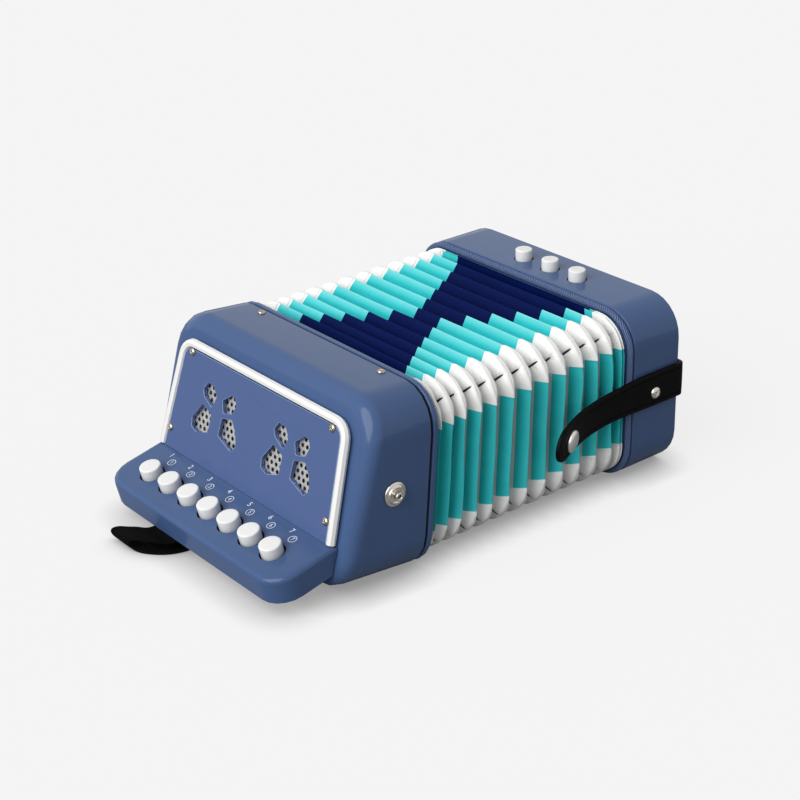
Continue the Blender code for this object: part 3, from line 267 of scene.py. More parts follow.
def twistedCord(name, low, high, ridge):
    # Braided cord sheathed in soft PVC: close slanting ridges, with painted shade in the furrows between
    # them
    material, tree, shader, tones, point = startMaterial(
        name, low, high, {"Roughness": 0.4, "Specular IOR Level": 0.35},
    )
    lay = addNode(tree, "ShaderNodeAttribute", {"attribute_name": "lay"})
    turn = addNode(tree, "ShaderNodeMath", {"operation": "MULTIPLY", 1: 2 * math.pi}, {0: lay["Fac"]})
    wave = addNode(tree, "ShaderNodeMath", {"operation": "SINE"}, {0: turn[0]})
    # The colour darkens into the furrows between the ridges: painted shade
    level = addNode(tree, "ShaderNodeMapRange", {1: -0.9, 2: 0.3, 3: 0, 4: 1}, {0: wave[0]})
    addNode(tree, "ShaderNodeMix", tones, {0: level[0]}, {2: shader["Base Color"]})
    fray = addNode(tree, "ShaderNodeTexNoise", {"Scale": 1 / (0.5 * mm), "Detail": 3}, point)
    fine = addNode(tree, "ShaderNodeBump", {"Distance": 0.03 * mm}, {"Height": fray[0]})
    addNode(
        tree, "ShaderNodeBump", {"Distance": ridge}, {"Height": level[0], "Normal": fine[0]},
        {0: shader["Normal"]},
    )
    return material


def grainySurface(name, low, high, values, grain, detail, depth, gloss=None, texture="Noise"):
    # One pattern drives the tone, the relief and, where gloss has a range, the roughness
    material, tree, shader, tones, point = startMaterial(name, low, high, values)
    sized = addNode(tree, "ShaderNodeMapping", {"Scale": [1 / (size * mm) for size in grain]}, point)
    pattern = addNode(
        tree, f"ShaderNodeTex{texture}", {"Scale": 1, "Detail": detail}, {"Vector": sized[0]},
    )
    addNode(tree, "ShaderNodeMix", tones, {0: pattern[0]}, {2: shader["Base Color"]})
    if gloss:
        addNode(
            tree, "ShaderNodeMapRange", {3: gloss[0], 4: gloss[1]}, {0: pattern[0]},
            {0: shader["Roughness"]},
        )
    addNode(
        tree, "ShaderNodeBump", {"Distance": depth}, {"Height": pattern[0]}, {0: shader["Normal"]},
    )
    return material


def platedSteel(name, low, high, roughness):
    # Pressed steel with a bright plating: sharp reflections, faint clouding and small dents
    gloss = (roughness - 0.05, roughness + 0.1)
    return grainySurface(name, low, high, {"Metallic": 1}, (3, 3, 3), 5, 0.03 * mm, gloss)


blueAbs = mouldedAbs("blueMouldedAbs", "3F5780", "445C86", 0.14)
plateAbs = mouldedAbs("bluePlateAbs", "4A5D89", "4F628E", 0.11)
# The grille plate's bevelled edges get a paler blue: a painted highlight
plateEdgeHighlight = mouldedAbs("bluePlateEdgeHighlight", "7F95BC", "8EA3C8", 0.3)
whiteAbs = mouldedAbs("whiteMouldedAbs", "E3E3E1", "E9E9E7", 0.2)
darkAbs = mouldedAbs("charcoalMouldedAbs", "26282D", "303238", 0.5)
navyCloth = coatedCloth("navyCoatedCloth", "000D3A", "011148", "0A1850")
turquoiseCloth = coatedCloth("turquoiseCoatedCloth", "1EB2B7", "35C2C6", "A2EBEC")
whiteCorner = leatherette("whiteLeatherette", "E6E6E4", "F0F0EE", "0F0D0B")
blackLeather = finishedLeather("blackGrainedLeather", "030303", "080707", 0.4)
nappedLeather = finishedLeather("blackNappedLeather", "030303", "070606", 0.8)
nickelSteel = platedSteel("nickelPlatedSteel", "C4BFB6", "DEDAD3", 0.18)
brassSteel = platedSteel("brassPlatedSteel", "B08D4A", "D0AE66", 0.26)
screwSteel = platedSteel("darkNickelSteel", "94877A", "BCB0A2", 0.18)
pressedSteel = platedSteel("pressedNickelSteel", "CFCCC8", "E4E2DF", 0.34)
punchedSteel = platedSteel("zincPunchedSteel", "C9C9C8", "E2E2E0", 0.42)
ropeCord = twistedCord("blueTwistedCord", "1F2C49", "5F75A3", 0.35 * mm)
# Grey-white board left bare in the valleys: dull and slightly fibrous
valleyCard = grainySurface(
    "bareGreyCard", "C2C6C6", "D6D9D8", {"Roughness": 0.85, "Specular IOR Level": 0.2},
    (0.8, 0.8, 0.8), 6, 0.04 * mm,
)
# Black EVA foam strip: dull and full of small cells
gasketFoam = grainySurface(
    "blackEvaFoam", "060607", "101012", {"Roughness": 0.9, "Specular IOR Level": 0.2},
    (0.5, 0.5, 0.5), 0, 0.1 * mm, texture="Voronoi",
)
# Beech plywood, sanded: pale, with short dark flecks along the grain
boardPly = grainySurface(
    "beechPlywood", "B98F5C", "D2B080", {"Roughness": 0.65}, (1, 14, 1.2), 6, 0.03 * mm,
)
# Pad-printing ink: a thin matt film, slightly uneven where it was pressed on
labelInk = grainySurface(
    "palePadPrint", "D2DCEC", "E6EDF5", {"Roughness": 0.6, "Specular IOR Level": 0.3},
    (0.25, 0.25, 0.25), 4, 0.01 * mm,
)
print("stage: materials made")


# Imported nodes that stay: welded, shaded smooth up to an edge angle and given a fine edge radius

cadFinish = {
    "weld": 0.005 * mm,
    "smoothAngle": math.radians(32),
    "edgeAngle": math.radians(40),
    "edgeSegments": 2,
    "flatAngle": math.radians(0.3),
}


def weldGroup():
    tree = bpy.data.node_groups.new("weldAndSmooth", "GeometryNodeTree")
    tree.interface.new_socket("Geometry", in_out="INPUT", socket_type="NodeSocketGeometry")
    tree.interface.new_socket("Geometry", in_out="OUTPUT", socket_type="NodeSocketGeometry")
    start = addNode(tree, "NodeGroupInput")
    bare = addNode(tree, "GeometryNodeRemoveAttribute", {"Name": "custom_normal"}, {"Geometry": start[0]})
    weld = addNode(
        tree, "GeometryNodeMergeByDistance", {"Distance": cadFinish["weld"]}, {"Geometry": bare[0]},
    )
    faces = addNode(
        tree, "GeometryNodeSetShadeSmooth", {"domain": "FACE", "Shade Smooth": True},
        {"Geometry": weld[0]},
    )
    angle = addNode(tree, "GeometryNodeInputMeshEdgeAngle")
    shallow = addNode(
        tree, "FunctionNodeCompare",
        {"data_type": "FLOAT", "operation": "LESS_THAN", 1: cadFinish["smoothAngle"]},
        {0: angle["Unsigned Angle"]},
    )
    edges = addNode(
        tree, "GeometryNodeSetShadeSmooth", {"domain": "EDGE"},
        {"Geometry": faces[0], "Shade Smooth": shallow[0]},
    )
    addNode(tree, "NodeGroupOutput", None, {0: edges[0]})
    return tree


smoothing = weldGroup()


def dressNode(name, material, edgeRadius=None, edgeHighlight=None):
    node = nodes[name]
    node.data.materials.clear()
    node.data.materials.append(material)
    weld = node.modifiers.new("weld and smooth", "NODES")
    weld.node_group = smoothing
    if edgeRadius:
        bevel = node.modifiers.new("edge radius", "BEVEL")
        bevel.width = edgeRadius
        bevel.segments = cadFinish["edgeSegments"]
        bevel.limit_method = "ANGLE"
        bevel.angle_limit = cadFinish["edgeAngle"]
        # A second, paler material on the bevel paints a highlight along the edges
        if edgeHighlight:
            node.data.materials.append(edgeHighlight)
            bevel.material = 1
            joined = node.modifiers.new("whole flat faces", "DECIMATE")
            joined.decimate_type = "DISSOLVE"
            joined.delimit = {"MATERIAL"}
            joined.angle_limit = cadFinish["flatAngle"]
    flat = node.modifiers.new("flat faces stay flat", "WEIGHTED_NORMAL")
    flat.keep_sharp = True


nodeLooks = {
    "treble_housing": (blueAbs, 0.3 * mm), "grille_plate": (plateAbs, 0.4 * mm, plateEdgeHighlight),
    "keyboard_shelf": (blueAbs, 0.3 * mm), "shelf_underplate": (blueAbs, 0.3 * mm),
    "treble_bellows_frame": (blueAbs, 0.5 * mm), "bass_bellows_frame": (blueAbs, 0.5 * mm),
    "bass_housing": (blueAbs, 0.3 * mm), "grille_piping": (whiteAbs, None),
    "treble_gasket": (gasketFoam, 0.3 * mm), "treble_reed_board": (boardPly, None),
    "bass_reed_board": (boardPly, None), "treble_reed_plate": (brassSteel, None),
    "bass_reed_plate": (brassSteel, None), "key_axle": (nickelSteel, None),
    "crank_axle": (nickelSteel, None), "key_springs": (brassSteel, None),
    "crank_springs": (brassSteel, None), "air_crank": (darkAbs, None),
    "bass_crank_1": (darkAbs, None), "bass_crank_2": (darkAbs, None),
}
for i in range(1, 8):
    nodeLooks[f"key_lever_{i}"] = (darkAbs, None)
for name, look in nodeLooks.items():
    dressNode(name, *look)
print("stage: packed nodes dressed")


# Mesh helpers

def linkMesh(name, bm, materials, limit=35):
    # Smooth, apart from edges over the limit in degrees
    bmesh.ops.recalc_face_normals(bm, faces=bm.faces)
    mesh = bpy.data.meshes.new(name)
    bm.to_mesh(mesh)
    bm.free()
    mesh.shade_smooth()
    mesh.set_sharp_from_angle(angle=math.radians(limit))
    for material in materials:
        mesh.materials.append(material)
    piece = bpy.data.objects.new(name, mesh)
    bpy.context.scene.collection.objects.link(piece)
    return piece


def loftRings(bm, rings, closed=False):
    rows = [[bm.verts.new(point) for point in ring] for ring in rings]
    pairs = list(zip(rows, rows[1:]))
    if closed:
        pairs.append((rows[-1], rows[0]))
    faces = []
    for first, second in pairs:
        strip = []
        for i in range(len(first)):
            k = (i + 1) % len(first)
            strip.append(bm.faces.new((first[i], first[k], second[k], second[i])))
        faces.append(strip)
    if not closed:
        bm.faces.new(rows[0])
        bm.faces.new(rows[-1])
    return rows, faces


def circlePoints(matrix, radius, height, steps):
    angles = [2 * math.pi * k / steps for k in range(steps)]
    return [matrix @ Vector((radius * math.cos(a), radius * math.sin(a), height)) for a in angles]


def turnedMesh(bm, profile, steps, matrix):
    # A profile of radius and height, turned about the matrix's own z; a radius of 0 is a single point
    rings = []
    for radius, height in profile:
        points = circlePoints(matrix, radius, height, steps if radius else 1)
        rings.append([bm.verts.new(point) for point in points])
    for first, second in zip(rings, rings[1:]):
        for k in range(steps):
            n = (k + 1) % steps
            corners = [first[0]] if len(first) == 1 else [first[k], first[n]]
            corners += [second[0]] if len(second) == 1 else [second[n], second[k]]
            bm.faces.new(corners)


def inMillimetres(points):
    return [(first * mm, second * mm) for first, second in points]


def smoothstep(low, high, value):
    t = min(max((value - low) / (high - low), 0), 1)
    return t * t * (3 - 2 * t)


# Outline of the ends, as a place from 0 to 8: top, near top corner, near side and so on round

def outlinePoint(place, inset, radius):
    halfWidth = layout["halfWidth"] - inset - radius
    low = inset + radius
    high = layout["height"] - inset - radius
    part = int(place) % 8
    share = place - int(place)
    if part == 0:
        return halfWidth - 2 * halfWidth * share, high + radius
    if part == 2:
        return -halfWidth - radius, high - (high - low) * share
    if part == 4:
        return -halfWidth + 2 * halfWidth * share, low - radius
    if part == 6:
        return halfWidth + radius, low + (high - low) * share
    angle = math.pi / 2 * share
    if part == 1:
        return -halfWidth - radius * math.sin(angle), high + radius * math.cos(angle)
    if part == 3:
        return -halfWidth - radius * math.cos(angle), low - radius * math.sin(angle)
    if part == 5:
        return halfWidth + radius * math.sin(angle), low - radius * math.cos(angle)
    return halfWidth + radius * math.cos(angle), high + radius * math.sin(angle)


# Bellows: one piece for each fold

bellows = {
    "length": layout["span"] - layout["overhang"],
    # The folds' shares of the length, with the last two almost closed
    "shares": [
        *(0.664 + 0.033 * i + 0.267 * math.sin(math.pi * i / 11) for i in range(12)), 0.168, 0.168,
    ],
    "crestInset": 2.5 * mm,
    "leastInset": 1.9 * mm,
    "crestRadius": 18 * mm,
    "valleyInset": 11 * mm,
    "valleyRadius": 7.5 * mm,
    "navyWaistFold": 7,
    "navyWaist": 8.1 * mm,
    "navyGrowth": 6.1 * mm,
    "navyShift": -3 * mm,
    "turquoiseLeast": 6 * mm,
    "topWhite": 52.7 * mm,
    "sideLow": (17.2 * mm, 21.5 * mm),
    "sideLength": 47.7 * mm,
    "tapeReach": 0.67,
    "overlapStep": 0.3 * mm,
    "wobble": 0.95 * mm,
    "wall": 0.8 * mm,
    "slitDepth": 0.7 * mm,
    "slitHalfWidth": 0.023,
    "slitTip": 0.3,
    "dimpleDepth": 1.1 * mm,
    "dimpleHalfWidth": 0.075,
    "cornerLength": 28 * mm,
    "seamStep": 0.004,
    "pinchSteps": (0.006, 0.013, 0.021, 0.033, 0.055, 0.085, 0.13, 0.18),
}


def foldPlaces():
    # Where each fold begins and ends, from 0 at the treble end to 1 at the bass end
    total = sum(bellows["shares"])
    places = [0]
    for share in bellows["shares"]:
        places.append(places[-1] + share / total)
    return places


def sidePlaceAtHeight(height):
    # Place on the near side of the outline where the crest is at this height
    radius = bellows["crestRadius"]
    low = bellows["crestInset"] + radius
    high = layout["height"] - bellows["crestInset"] - radius
    if height > high:
        return 1 + math.acos(min((height - high) / radius, 1)) / (math.pi / 2)
    if height < low:
        return 3 + math.asin(min((low - height) / radius, 1)) / (math.pi / 2)
    return 2 + (high - height) / (high - low)


def foldBreaks(fold, share):
    # Places where one covering meets the next, each with the covering that follows it
    halfTop = layout["halfWidth"] - bellows["crestInset"] - bellows["crestRadius"]
    navy = bellows["navyWaist"] + bellows["navyGrowth"] * abs(fold + 1 - bellows["navyWaistFold"])
    navy = min(navy, bellows["topWhite"] - bellows["turquoiseLeast"])
    centre = bellows["navyShift"]
    low = bellows["sideLow"][0] + (bellows["sideLow"][1] - bellows["sideLow"][0]) * share

    def topPlace(y):
        return (halfTop - y) / (2 * halfTop)

    white = bellows["topWhite"]
    top = [topPlace(y) for y in (white, centre + navy, centre - navy, -white)]
    near = [sidePlaceAtHeight(low + bellows["sideLength"]), sidePlaceAtHeight(low)]
    bottom = [5 - place for place in reversed(top)]
    far = [9 - place for place in reversed(near)]
    coverings = ["turquoise", "navy", "turquoise", "white", "turquoise", "white"] * 2
    return list(zip(top + near + bottom + far, coverings))


def coveringAt(breaks, place):
    found = breaks[-1][1]
    for start, covering in breaks:
        if place >= start - 1e-9:
            found = covering
    return found


def foldSamples(breaks):
    # Places round a fold: closest together in the pinched corners and beside each seam
    samples = set()
    for part in range(8):
        count = 22 if part in (0, 4) else 12
        samples.update(part + i / count for i in range(count) if part % 2 == 0 or abs(i - 6) > 2)
        if part % 2:
            for step in (0, *bellows["pinchSteps"]):
                samples.update((part + 0.5 - step, part + 0.5 + step))
    step = bellows["seamStep"]
    kept = sorted(samples)
    for start, covering in breaks:
        kept = [place for place in kept if abs(place - start) > 3 * step]
        kept += [start - step, start + step]
    return sorted(kept)


def cornerShare(breaks, place):
    # 0 on the flat coverings, rising to 1 well inside a white corner
    if coveringAt(breaks, place) != "white":
        return 0
    nearest = min(abs(place - start - turn) for start, covering in breaks for turn in (-8, 0, 8))
    return smoothstep(0, 0.3, nearest)


def bellowsEnds(y, z):
    first = trebleMatrix @ Vector((layout["overhang"] + layout["gap"], y, z))
    return first, Vector((bassX - layout["gap"], y, z))


def ringPoint(along, place, inset, radius):
    first, last = bellowsEnds(*outlinePoint(place, inset, radius))
    return first.lerp(last, along)


def pinch(fold, place, away, halfLength):
    # How far into a pinched corner a point is: the slit, the dimple round it and the side step from it
    share = place % 2
    if share < 1:
        return 0, 0, (0, 0)
    side = share - 1.5
    room = smoothstep(1.2 * mm, 2.5 * mm, halfLength)  # an almost closed fold has none
    # The slit is widest in the valley and runs out to a point towards the crest, sooner in some folds
    uneven = noise.noise(Vector((3.7 * fold + 0.4, int(place) + 0.3, 0.5)))
    tip = bellows["slitTip"] + 0.35 * uneven
    halfWidth = bellows["slitHalfWidth"] * (0.2 + 1.1 * away)
    slit = math.exp(-(side / halfWidth) ** 2) * smoothstep(tip, tip + 0.3, away)
    dimple = math.exp(-(side / bellows["dimpleHalfWidth"]) ** 2) * smoothstep(0.05, 0.75, away)
    # The wrinkles' place is in mm, sideways from the slit and over its middle
    return slit * room, dimple * room, (side * bellows["cornerLength"] / mm, (0.62 - away) * 9)


def foldSurface(fold, along, halfLength, place, row, breaks, thin):
    # Row runs from -1, the valley on the treble side, over the crest at 0 to the next valley at 1
    away = abs(row)
    # The white corners have a rounder crest and fuller flanks than the flat coverings
    corner = cornerShare(breaks, place)
    rounding = 0.04 + 0.2 * corner
    bulge = 0.06 + 0.17 * corner
    depth = (math.hypot(away, rounding) - rounding) / (math.hypot(1, rounding) - rounding)
    depth = max(depth - bulge * math.sin(math.pi * away), -0.02)
    inset = bellows["crestInset"] + (bellows["valleyInset"] - bellows["crestInset"]) * depth
    radius = bellows["crestRadius"] + (bellows["valleyRadius"] - bellows["crestRadius"]) * depth
    covering = coveringAt(breaks, place)
    if thin == 0:
        if covering == "white":
            inset -= bellows["overlapStep"]
        elif away > bellows["tapeReach"]:
            inset += 0.5 * bellows["overlapStep"]
    slit, dimple, step = pinch(fold, place, away, halfLength)
    inset += thin + bellows["slitDepth"] * slit + bellows["dimpleDepth"] * dimple
    inset = max(inset, bellows["leastInset"])
    seed = Vector((fold * 7.3, place * 1.3, 0.3 * row))
    sway = bellows["wobble"] * (1 - away) * (noise.noise(seed) + 0.5 * noise.noise(seed * 2.3))
    sway *= min(halfLength / (4 * mm), 1)
    point = ringPoint(along + halfLength * row / bellows["length"], place, inset, radius)
    point.x += sway
    return point


def makeFold(fold, places):
    start = places[fold]
    end = places[fold + 1]
    middle = (start + end) / 2
    halfLength = (end - start) / 2 * bellows["length"]
    breaks = foldBreaks(fold, middle)
    samples = foldSamples(breaks)
    reach = bellows["tapeReach"]
    outerRows = (-1, -0.86, -reach - 0.01, -reach + 0.01, -0.6, -0.46, -0.32, -0.2, -0.11, -0.045, 0)
    outerRows += tuple(-row for row in outerRows[-2::-1])
    innerRows = (1, 0.5, 0, -0.5, -1)
    rings = [
        [foldSurface(fold, middle, halfLength, place, row, breaks, 0) for place in samples]
        for row in outerRows
    ]
    rings += [
        [foldSurface(fold, middle, halfLength, place, row, breaks, bellows["wall"]) for place in samples]
        for row in innerRows
    ]
    bm = bmesh.new()
    crest = bm.verts.layers.float.new("crest")
    slit = bm.verts.layers.float.new("slit")
    pull = bm.verts.layers.float_vector.new("pull")
    rows, faces = loftRings(bm, rings, closed=True)
    for row, ring in zip(outerRows + innerRows, rows):
        for place, vertex in zip(samples, ring):
            vertex[crest] = 1 - abs(row)
            vertex[slit], dimple, (side, along) = pinch(fold, place, abs(row), halfLength)
            if row == 0 and min(abs(place - breaks[k][0]) for k in (0, 3)) < 0.006:
                vertex[slit] = 1  # glue darkens the tip of each white corner
            vertex[pull] = (side, along, fold + int(place) + (0.5 if row > 0 else 0))
    order = ["turquoise", "navy", "white", "card"]  # as the materials
    for i, strip in enumerate(faces):
        for k, face in enumerate(strip):
            if i >= len(outerRows) - 1:
                face.material_index = order.index("card")
                continue
            place = (samples[k] + (samples[(k + 1) % len(samples)] if k + 1 < len(samples) else 8)) / 2
            covering = coveringAt(breaks, place)
            if covering != "white" and abs(outerRows[i] + outerRows[i + 1]) / 2 > reach:
                covering = "card"
            face.material_index = order.index(covering)
    materials = (turquoiseCloth, navyCloth, whiteCorner, valleyCard)
    return linkMesh(f"bellows_fold_{fold + 1}", bm, materials, 50)


def blendFold(piece):
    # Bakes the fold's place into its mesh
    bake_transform(piece)


def makeBellows():
    places = foldPlaces()
    for fold in range(len(bellows["shares"])):
        piece = makeFold(fold, places)
        blendFold(piece)
        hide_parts("bellows")


makeBellows()
print("stage: bellows made")


# Rope trim round the bass end

rope = {
    "radius": 1.5 * mm, "corner": 18.5 * mm, "ridgeSpacing": 1.2 * mm, "strands": 8, "steps": 440,
    "sides": 16,
}


def makeRope():
    radius = rope["radius"]
    lengths = (113, 29, 48, 29)  # of the outline's parts in mm, for even steps
    places = []
    for part in range(8):
        count = round(rope["steps"] * lengths[part % 4] / (2 * sum(lengths)))
        places += [part + i / count for i in range(count)]
    points = [Vector((0, *outlinePoint(place, radius, rope["corner"] - radius))) for place in places]
    count = len(points)
    travelled = [0]
    for i in range(count):
        travelled.append(travelled[-1] + (points[(i + 1) % count] - points[i]).length)
    ridges = round(travelled[-1] / rope["ridgeSpacing"])
    rings = []
    for i, point in enumerate(points):
        ahead = (points[(i + 1) % count] - points[i - 1]).normalized()
        side = ahead.cross(Vector((1, 0, 0))).normalized()
        ring = []
        for k in range(rope["sides"]):
            angle = 2 * math.pi * k / rope["sides"]
            ring.append((
                bassX + radius + radius * math.cos(angle), point.y + side.y * radius * math.sin(angle),
                point.z + side.z * radius * math.sin(angle),
            ))
        rings.append(ring)
    bm = bmesh.new()
    lay = bm.loops.layers.float.new("lay")
    rows, faces = loftRings(bm, rings, closed=True)
    for i, strip in enumerate(faces):
        for k, face in enumerate(strip):
            turn = [k, k + 1, k + 1, k]
            along = [travelled[i], travelled[i], travelled[i + 1], travelled[i + 1]]
            for loop, t, s in zip(face.loops, turn, along):
                loop[lay] = rope["strands"] * t / rope["sides"] - ridges * s / travelled[-1]
    piece = linkMesh("rope_trim_cord", bm, (ropeCord,), 60)
    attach(piece, "bass_end")
    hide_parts("rope_trim")


makeRope()
print("stage: rope made")


# Places of turned pieces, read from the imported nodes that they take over

def nodeTop(name, axis):
    # The middle of the node's end face along the axis
    points = [vertex.co for vertex in nodes[name].data.vertices]
    high = max(point.dot(axis) for point in points)
    low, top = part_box(name)
    middle = (Vector(low) + Vector(top)) / 2
    return middle + axis * (high - middle.dot(axis))


def axisMatrix(place, axis):
    return Matrix.Translation(place) @ axis.to_track_quat("Z", "Y").to_matrix().to_4x4()


def placePiece(piece, body, slot, *replaced):
    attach(piece, body)
    for name in replaced:
        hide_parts(name)


# Round buttons with a rolled edge and a slightly domed top

buttonForm = {"edge": 0.7 * mm, "bevel": 0.2 * mm, "dome": 0.06 * mm, "steps": 56}
melodyButton = {"radius": 5.1 * mm, "skirt": 8.6 * mm}
bassButton = {"radius": 4.2 * mm, "skirt": 10.3 * mm, "stem": 1.1 * mm}


def buttonProfile(size):
    # From the foot of the skirt up to the middle of the top, which is at height 0
    radius = size["radius"]
    edge = buttonForm["edge"]
    dome = buttonForm["dome"]
    bevel = buttonForm["bevel"]
    profile = [(radius - bevel, -size["skirt"]), (radius, bevel - size["skirt"])]
    for k in range(7):
        angle = math.pi / 2 * k / 6
        profile.append((radius - edge + edge * math.cos(angle), edge * math.sin(angle) - edge - dome))
    profile += [((radius - edge) * share, -dome * share ** 2) for share in (0.66, 0.33)]
    return profile + [(0, 0)]


def makeButtons():
    size = melodyButton
    up = shelfMatrix.to_3x3() @ Vector((0, 0, 1))
    for i in range(1, 8):
        bm = bmesh.new()
        profile = [(0, -size["skirt"])] + buttonProfile(size)
        turnedMesh(bm, profile, buttonForm["steps"], axisMatrix(nodeTop(f"button_{i}", up), up))
        button = linkMesh(f"melody_button_{i}", bm, (whiteAbs,), 50)
        placePiece(button, f"key_{i}", "white_plastic", f"button_{i}")
    size = bassButton
    up = Vector((0, 0, 1))
    for name in ("air_button", "bass_button_1", "bass_button_2"):
        top = nodeTop(name, up)
        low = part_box(name)[0][2] - top.z
        bm = bmesh.new()
        stem = [(0, low), (size["stem"], low), (size["stem"], -size["skirt"])]
        turnedMesh(bm, stem + buttonProfile(size), buttonForm["steps"], axisMatrix(top, up))
        placePiece(linkMesh(f"{name}_cap", bm, (whiteAbs,), 50), name, "white_plastic", name)


makeButtons()


# Screws: domed heads with a cross recess

smallScrew = {"radius": 1.9 * mm, "height": 1.1 * mm, "recess": 0.62, "slot": 0.26}
strapScrew = {"radius": 2.9 * mm, "height": 1.6 * mm, "recess": 0.62, "slot": 0.24}
screwShank = 2 * mm
screwSteps = 40


def crossCutter(arm, slot, depth, height, matrix):
    # A cross that gets smaller as it goes down
    bm = bmesh.new()
    outline = []
    for quarter in range(4):
        turn = Matrix.Rotation(math.pi / 2 * quarter, 3, "Z")
        for x, y in ((arm, -slot * 0.8), (arm, slot * 0.8), (slot, slot)):
            outline.append(turn @ Vector((x, y, 0)))
    rings = []
    for z, share in ((height, 1), (-depth, 0.55)):
        rings.append([matrix @ Vector((p.x * share, p.y * share, z)) for p in outline])
    loftRings(bm, rings)
    return linkMesh("cross_cutter", bm, ())


def subtract(piece, cutter):
    cut = piece.modifiers.new("cross recess", "BOOLEAN")
    cut.operation = "DIFFERENCE"
    cut.solver = "EXACT"
    cut.object = cutter
    done = bpy.data.meshes.new_from_object(piece.evaluated_get(bpy.context.evaluated_depsgraph_get()))
    piece.modifiers.clear()
    piece.data = done
    bpy.data.objects.remove(cutter)


def makeScrew(node, axis, size, material, body, turn):
    top = nodeTop(node, axis)
    matrix = axisMatrix(top, axis) @ Matrix.Rotation(turn, 4, "Z")
    radius = size["radius"]
    height = size["height"]
    foot = -height - screwShank
    profile = [(0, foot), (radius / 2, foot), (radius / 2, -height), (radius, -height)]
    for k in range(1, 9):
        angle = math.pi / 2 * k / 9
        profile.append((radius * math.cos(angle) ** 0.8, -height + height * math.sin(angle)))
    profile.append((0, 0))
    bm = bmesh.new()
    turnedMesh(bm, profile, screwSteps, matrix)
    screw = linkMesh(f"{node}_head", bm, (material,), 45)
    arm = size["recess"] * radius
    subtract(screw, crossCutter(arm, size["slot"] * radius / 2, 0.9 * height, height, matrix))
    placePiece(screw, body, "nickel_steel", node)


def makeScrews():
    random.seed(11)  # each cross recess is turned its own way
    trebleUp = (trebleMatrix.to_3x3() @ Vector((0, 0, 1))).normalized()
    plateOut = (frontMatrix.to_3x3() @ Vector((0, 0, 1))).normalized()
    axes = {
        "grille_screw_lower": plateOut, "grille_screw_upper": plateOut,
        "housing_screw_top": trebleUp, "housing_screw_bottom": -trebleUp,
    }
    places = [
        (f"{name}_{side}", axis, smallScrew, screwSteel, "treble_end")
        for side in ("left", "right") for name, axis in axes.items()
    ]
    for side, way in (("near", -1), ("far", 1)):
        places.append((f"strap_screw_{side}", Vector((0, way, 0)), strapScrew, nickelSteel, "bass_end"))
    for place in places:
        makeScrew(*place, random.uniform(0, math.pi / 2))


makeScrews()
print("stage: buttons and screws made")


# Press studs with flange, ring, deep well and hollow knob. Profiles hold the radius and the height in mm,
# here from the knob's top

pressStud = {
    "steps": 64,
    "profile": (
        (0, -3.7), (5.6, -3.7), (5.6, -3.2), (5.4, -2.98), (4.7, -2.8), (4.35, -2.7), (4.2, -2.3),
        (3.95, -1.95), (3.6, -1.82), (3.25, -1.9), (3.05, -2.2), (2.95, -2.6), (1.9, -2.62), (1.75, -2.5),
        (1.62, -1.7), (1.65, -1.2), (1.85, -0.75), (1.98, -0.45), (1.95, -0.18), (1.75, -0.02), (1.4, 0),
        (1.1, -0.1), (0.92, -0.4), (0.85, -1.2), (0.8, -2.4), (0, -2.4),
    ),
}


def makeStuds():
    for name, side in (("near", -1), ("far", 1)):
        axis = Vector((0, side, 0))
        matrix = axisMatrix(nodeTop(f"press_stud_{name}", axis), axis)
        bm = bmesh.new()
        turnedMesh(bm, inMillimetres(pressStud["profile"]), pressStud["steps"], matrix)
        stud = linkMesh(f"press_stud_{name}_turned", bm, (nickelSteel,), 60)
        placePiece(stud, "treble_end", "nickel_steel", f"press_stud_{name}")


makeStuds()


# Leather bands: rounded edges with a pressed line beside each

band = {
    "thickness": 2 * mm,
    # In mm from the edge and over the outer face, with the pressed line at 2.4
    "edge": (
        (0, -0.7), (0.12, -0.35), (0.4, -0.1), (0.9, 0), (2.15, 0), (2.4, -0.4), (2.65, 0), (3.6, 0.04),
    ),
    "inner": ((0.5, 0), (0.05, 0.3)),  # the same over the inner face
    "crown": 0.06 * mm,
}
tail = {
    "root": 6 * mm,
    "length": 69.5 * mm,
    "lift": 4.3 * mm,
    "liftPower": 4.2,
    "capPlace": 57 * mm,
    "capDrop": 1.9 * mm,
    "height": 45.9 * mm,
    "drop": 7.6 * mm,
    "dropPower": 2.8,
    "rootHalf": 8.5 * mm,
    "tipHalf": 7.5 * mm,
    "taper": 35 * mm,
    "screwSetback": 15 * mm,
    "sideFace": 75 * mm,
    "bend": (3.5 * mm, 18 * mm),
    "steps": 40,
    "tipSteps": 16,
}


def bandEdge(thickness):
    # From the inner face round to the outer one: distance from the edge and height over the outer face
    inner = [(inset, height - thickness) for inset, height in inMillimetres(band["inner"])]
    return inner + inMillimetres(band["edge"])


def bandSection(low, high, thickness):
    # Points round a band's section as the place across and the height over the outer face
    edge = bandEdge(thickness)
    section = [(low + d, h) for d, h in edge] + [((low + high) / 2, band["crown"])]
    return section + [(high - d, h) for d, h in reversed(edge)]


def tailPoint(side, s, across, height):
    # From the place along the tail, across it and over its outer face
    past = max(s, 0)
    bent = min(past / tail["capPlace"], 1)
    slope = tail["liftPower"] * tail["lift"] / tail["capPlace"] * bent ** (tail["liftPower"] - 1)
    lift = tail["lift"] * bent ** tail["liftPower"] + slope * max(past - tail["capPlace"], 0)
    angle = math.atan(slope)
    x = bassX + tail["screwSetback"] - s
    y = tail["sideFace"] + layout["gap"] + band["thickness"] + lift
    z = tail["height"] - tail["drop"] * (past / tail["length"]) ** tail["dropPower"] + across
    return Vector((x + height * math.sin(angle), side * (y + height * math.cos(angle)), z))


def tailHalf(s, inset):
    # Half the width at a place along the tail, for the outline set in from the edge
    slimmer = (tail["rootHalf"] - tail["tipHalf"]) * smoothstep(0, tail["taper"], s)
    return tail["rootHalf"] - slimmer - inset


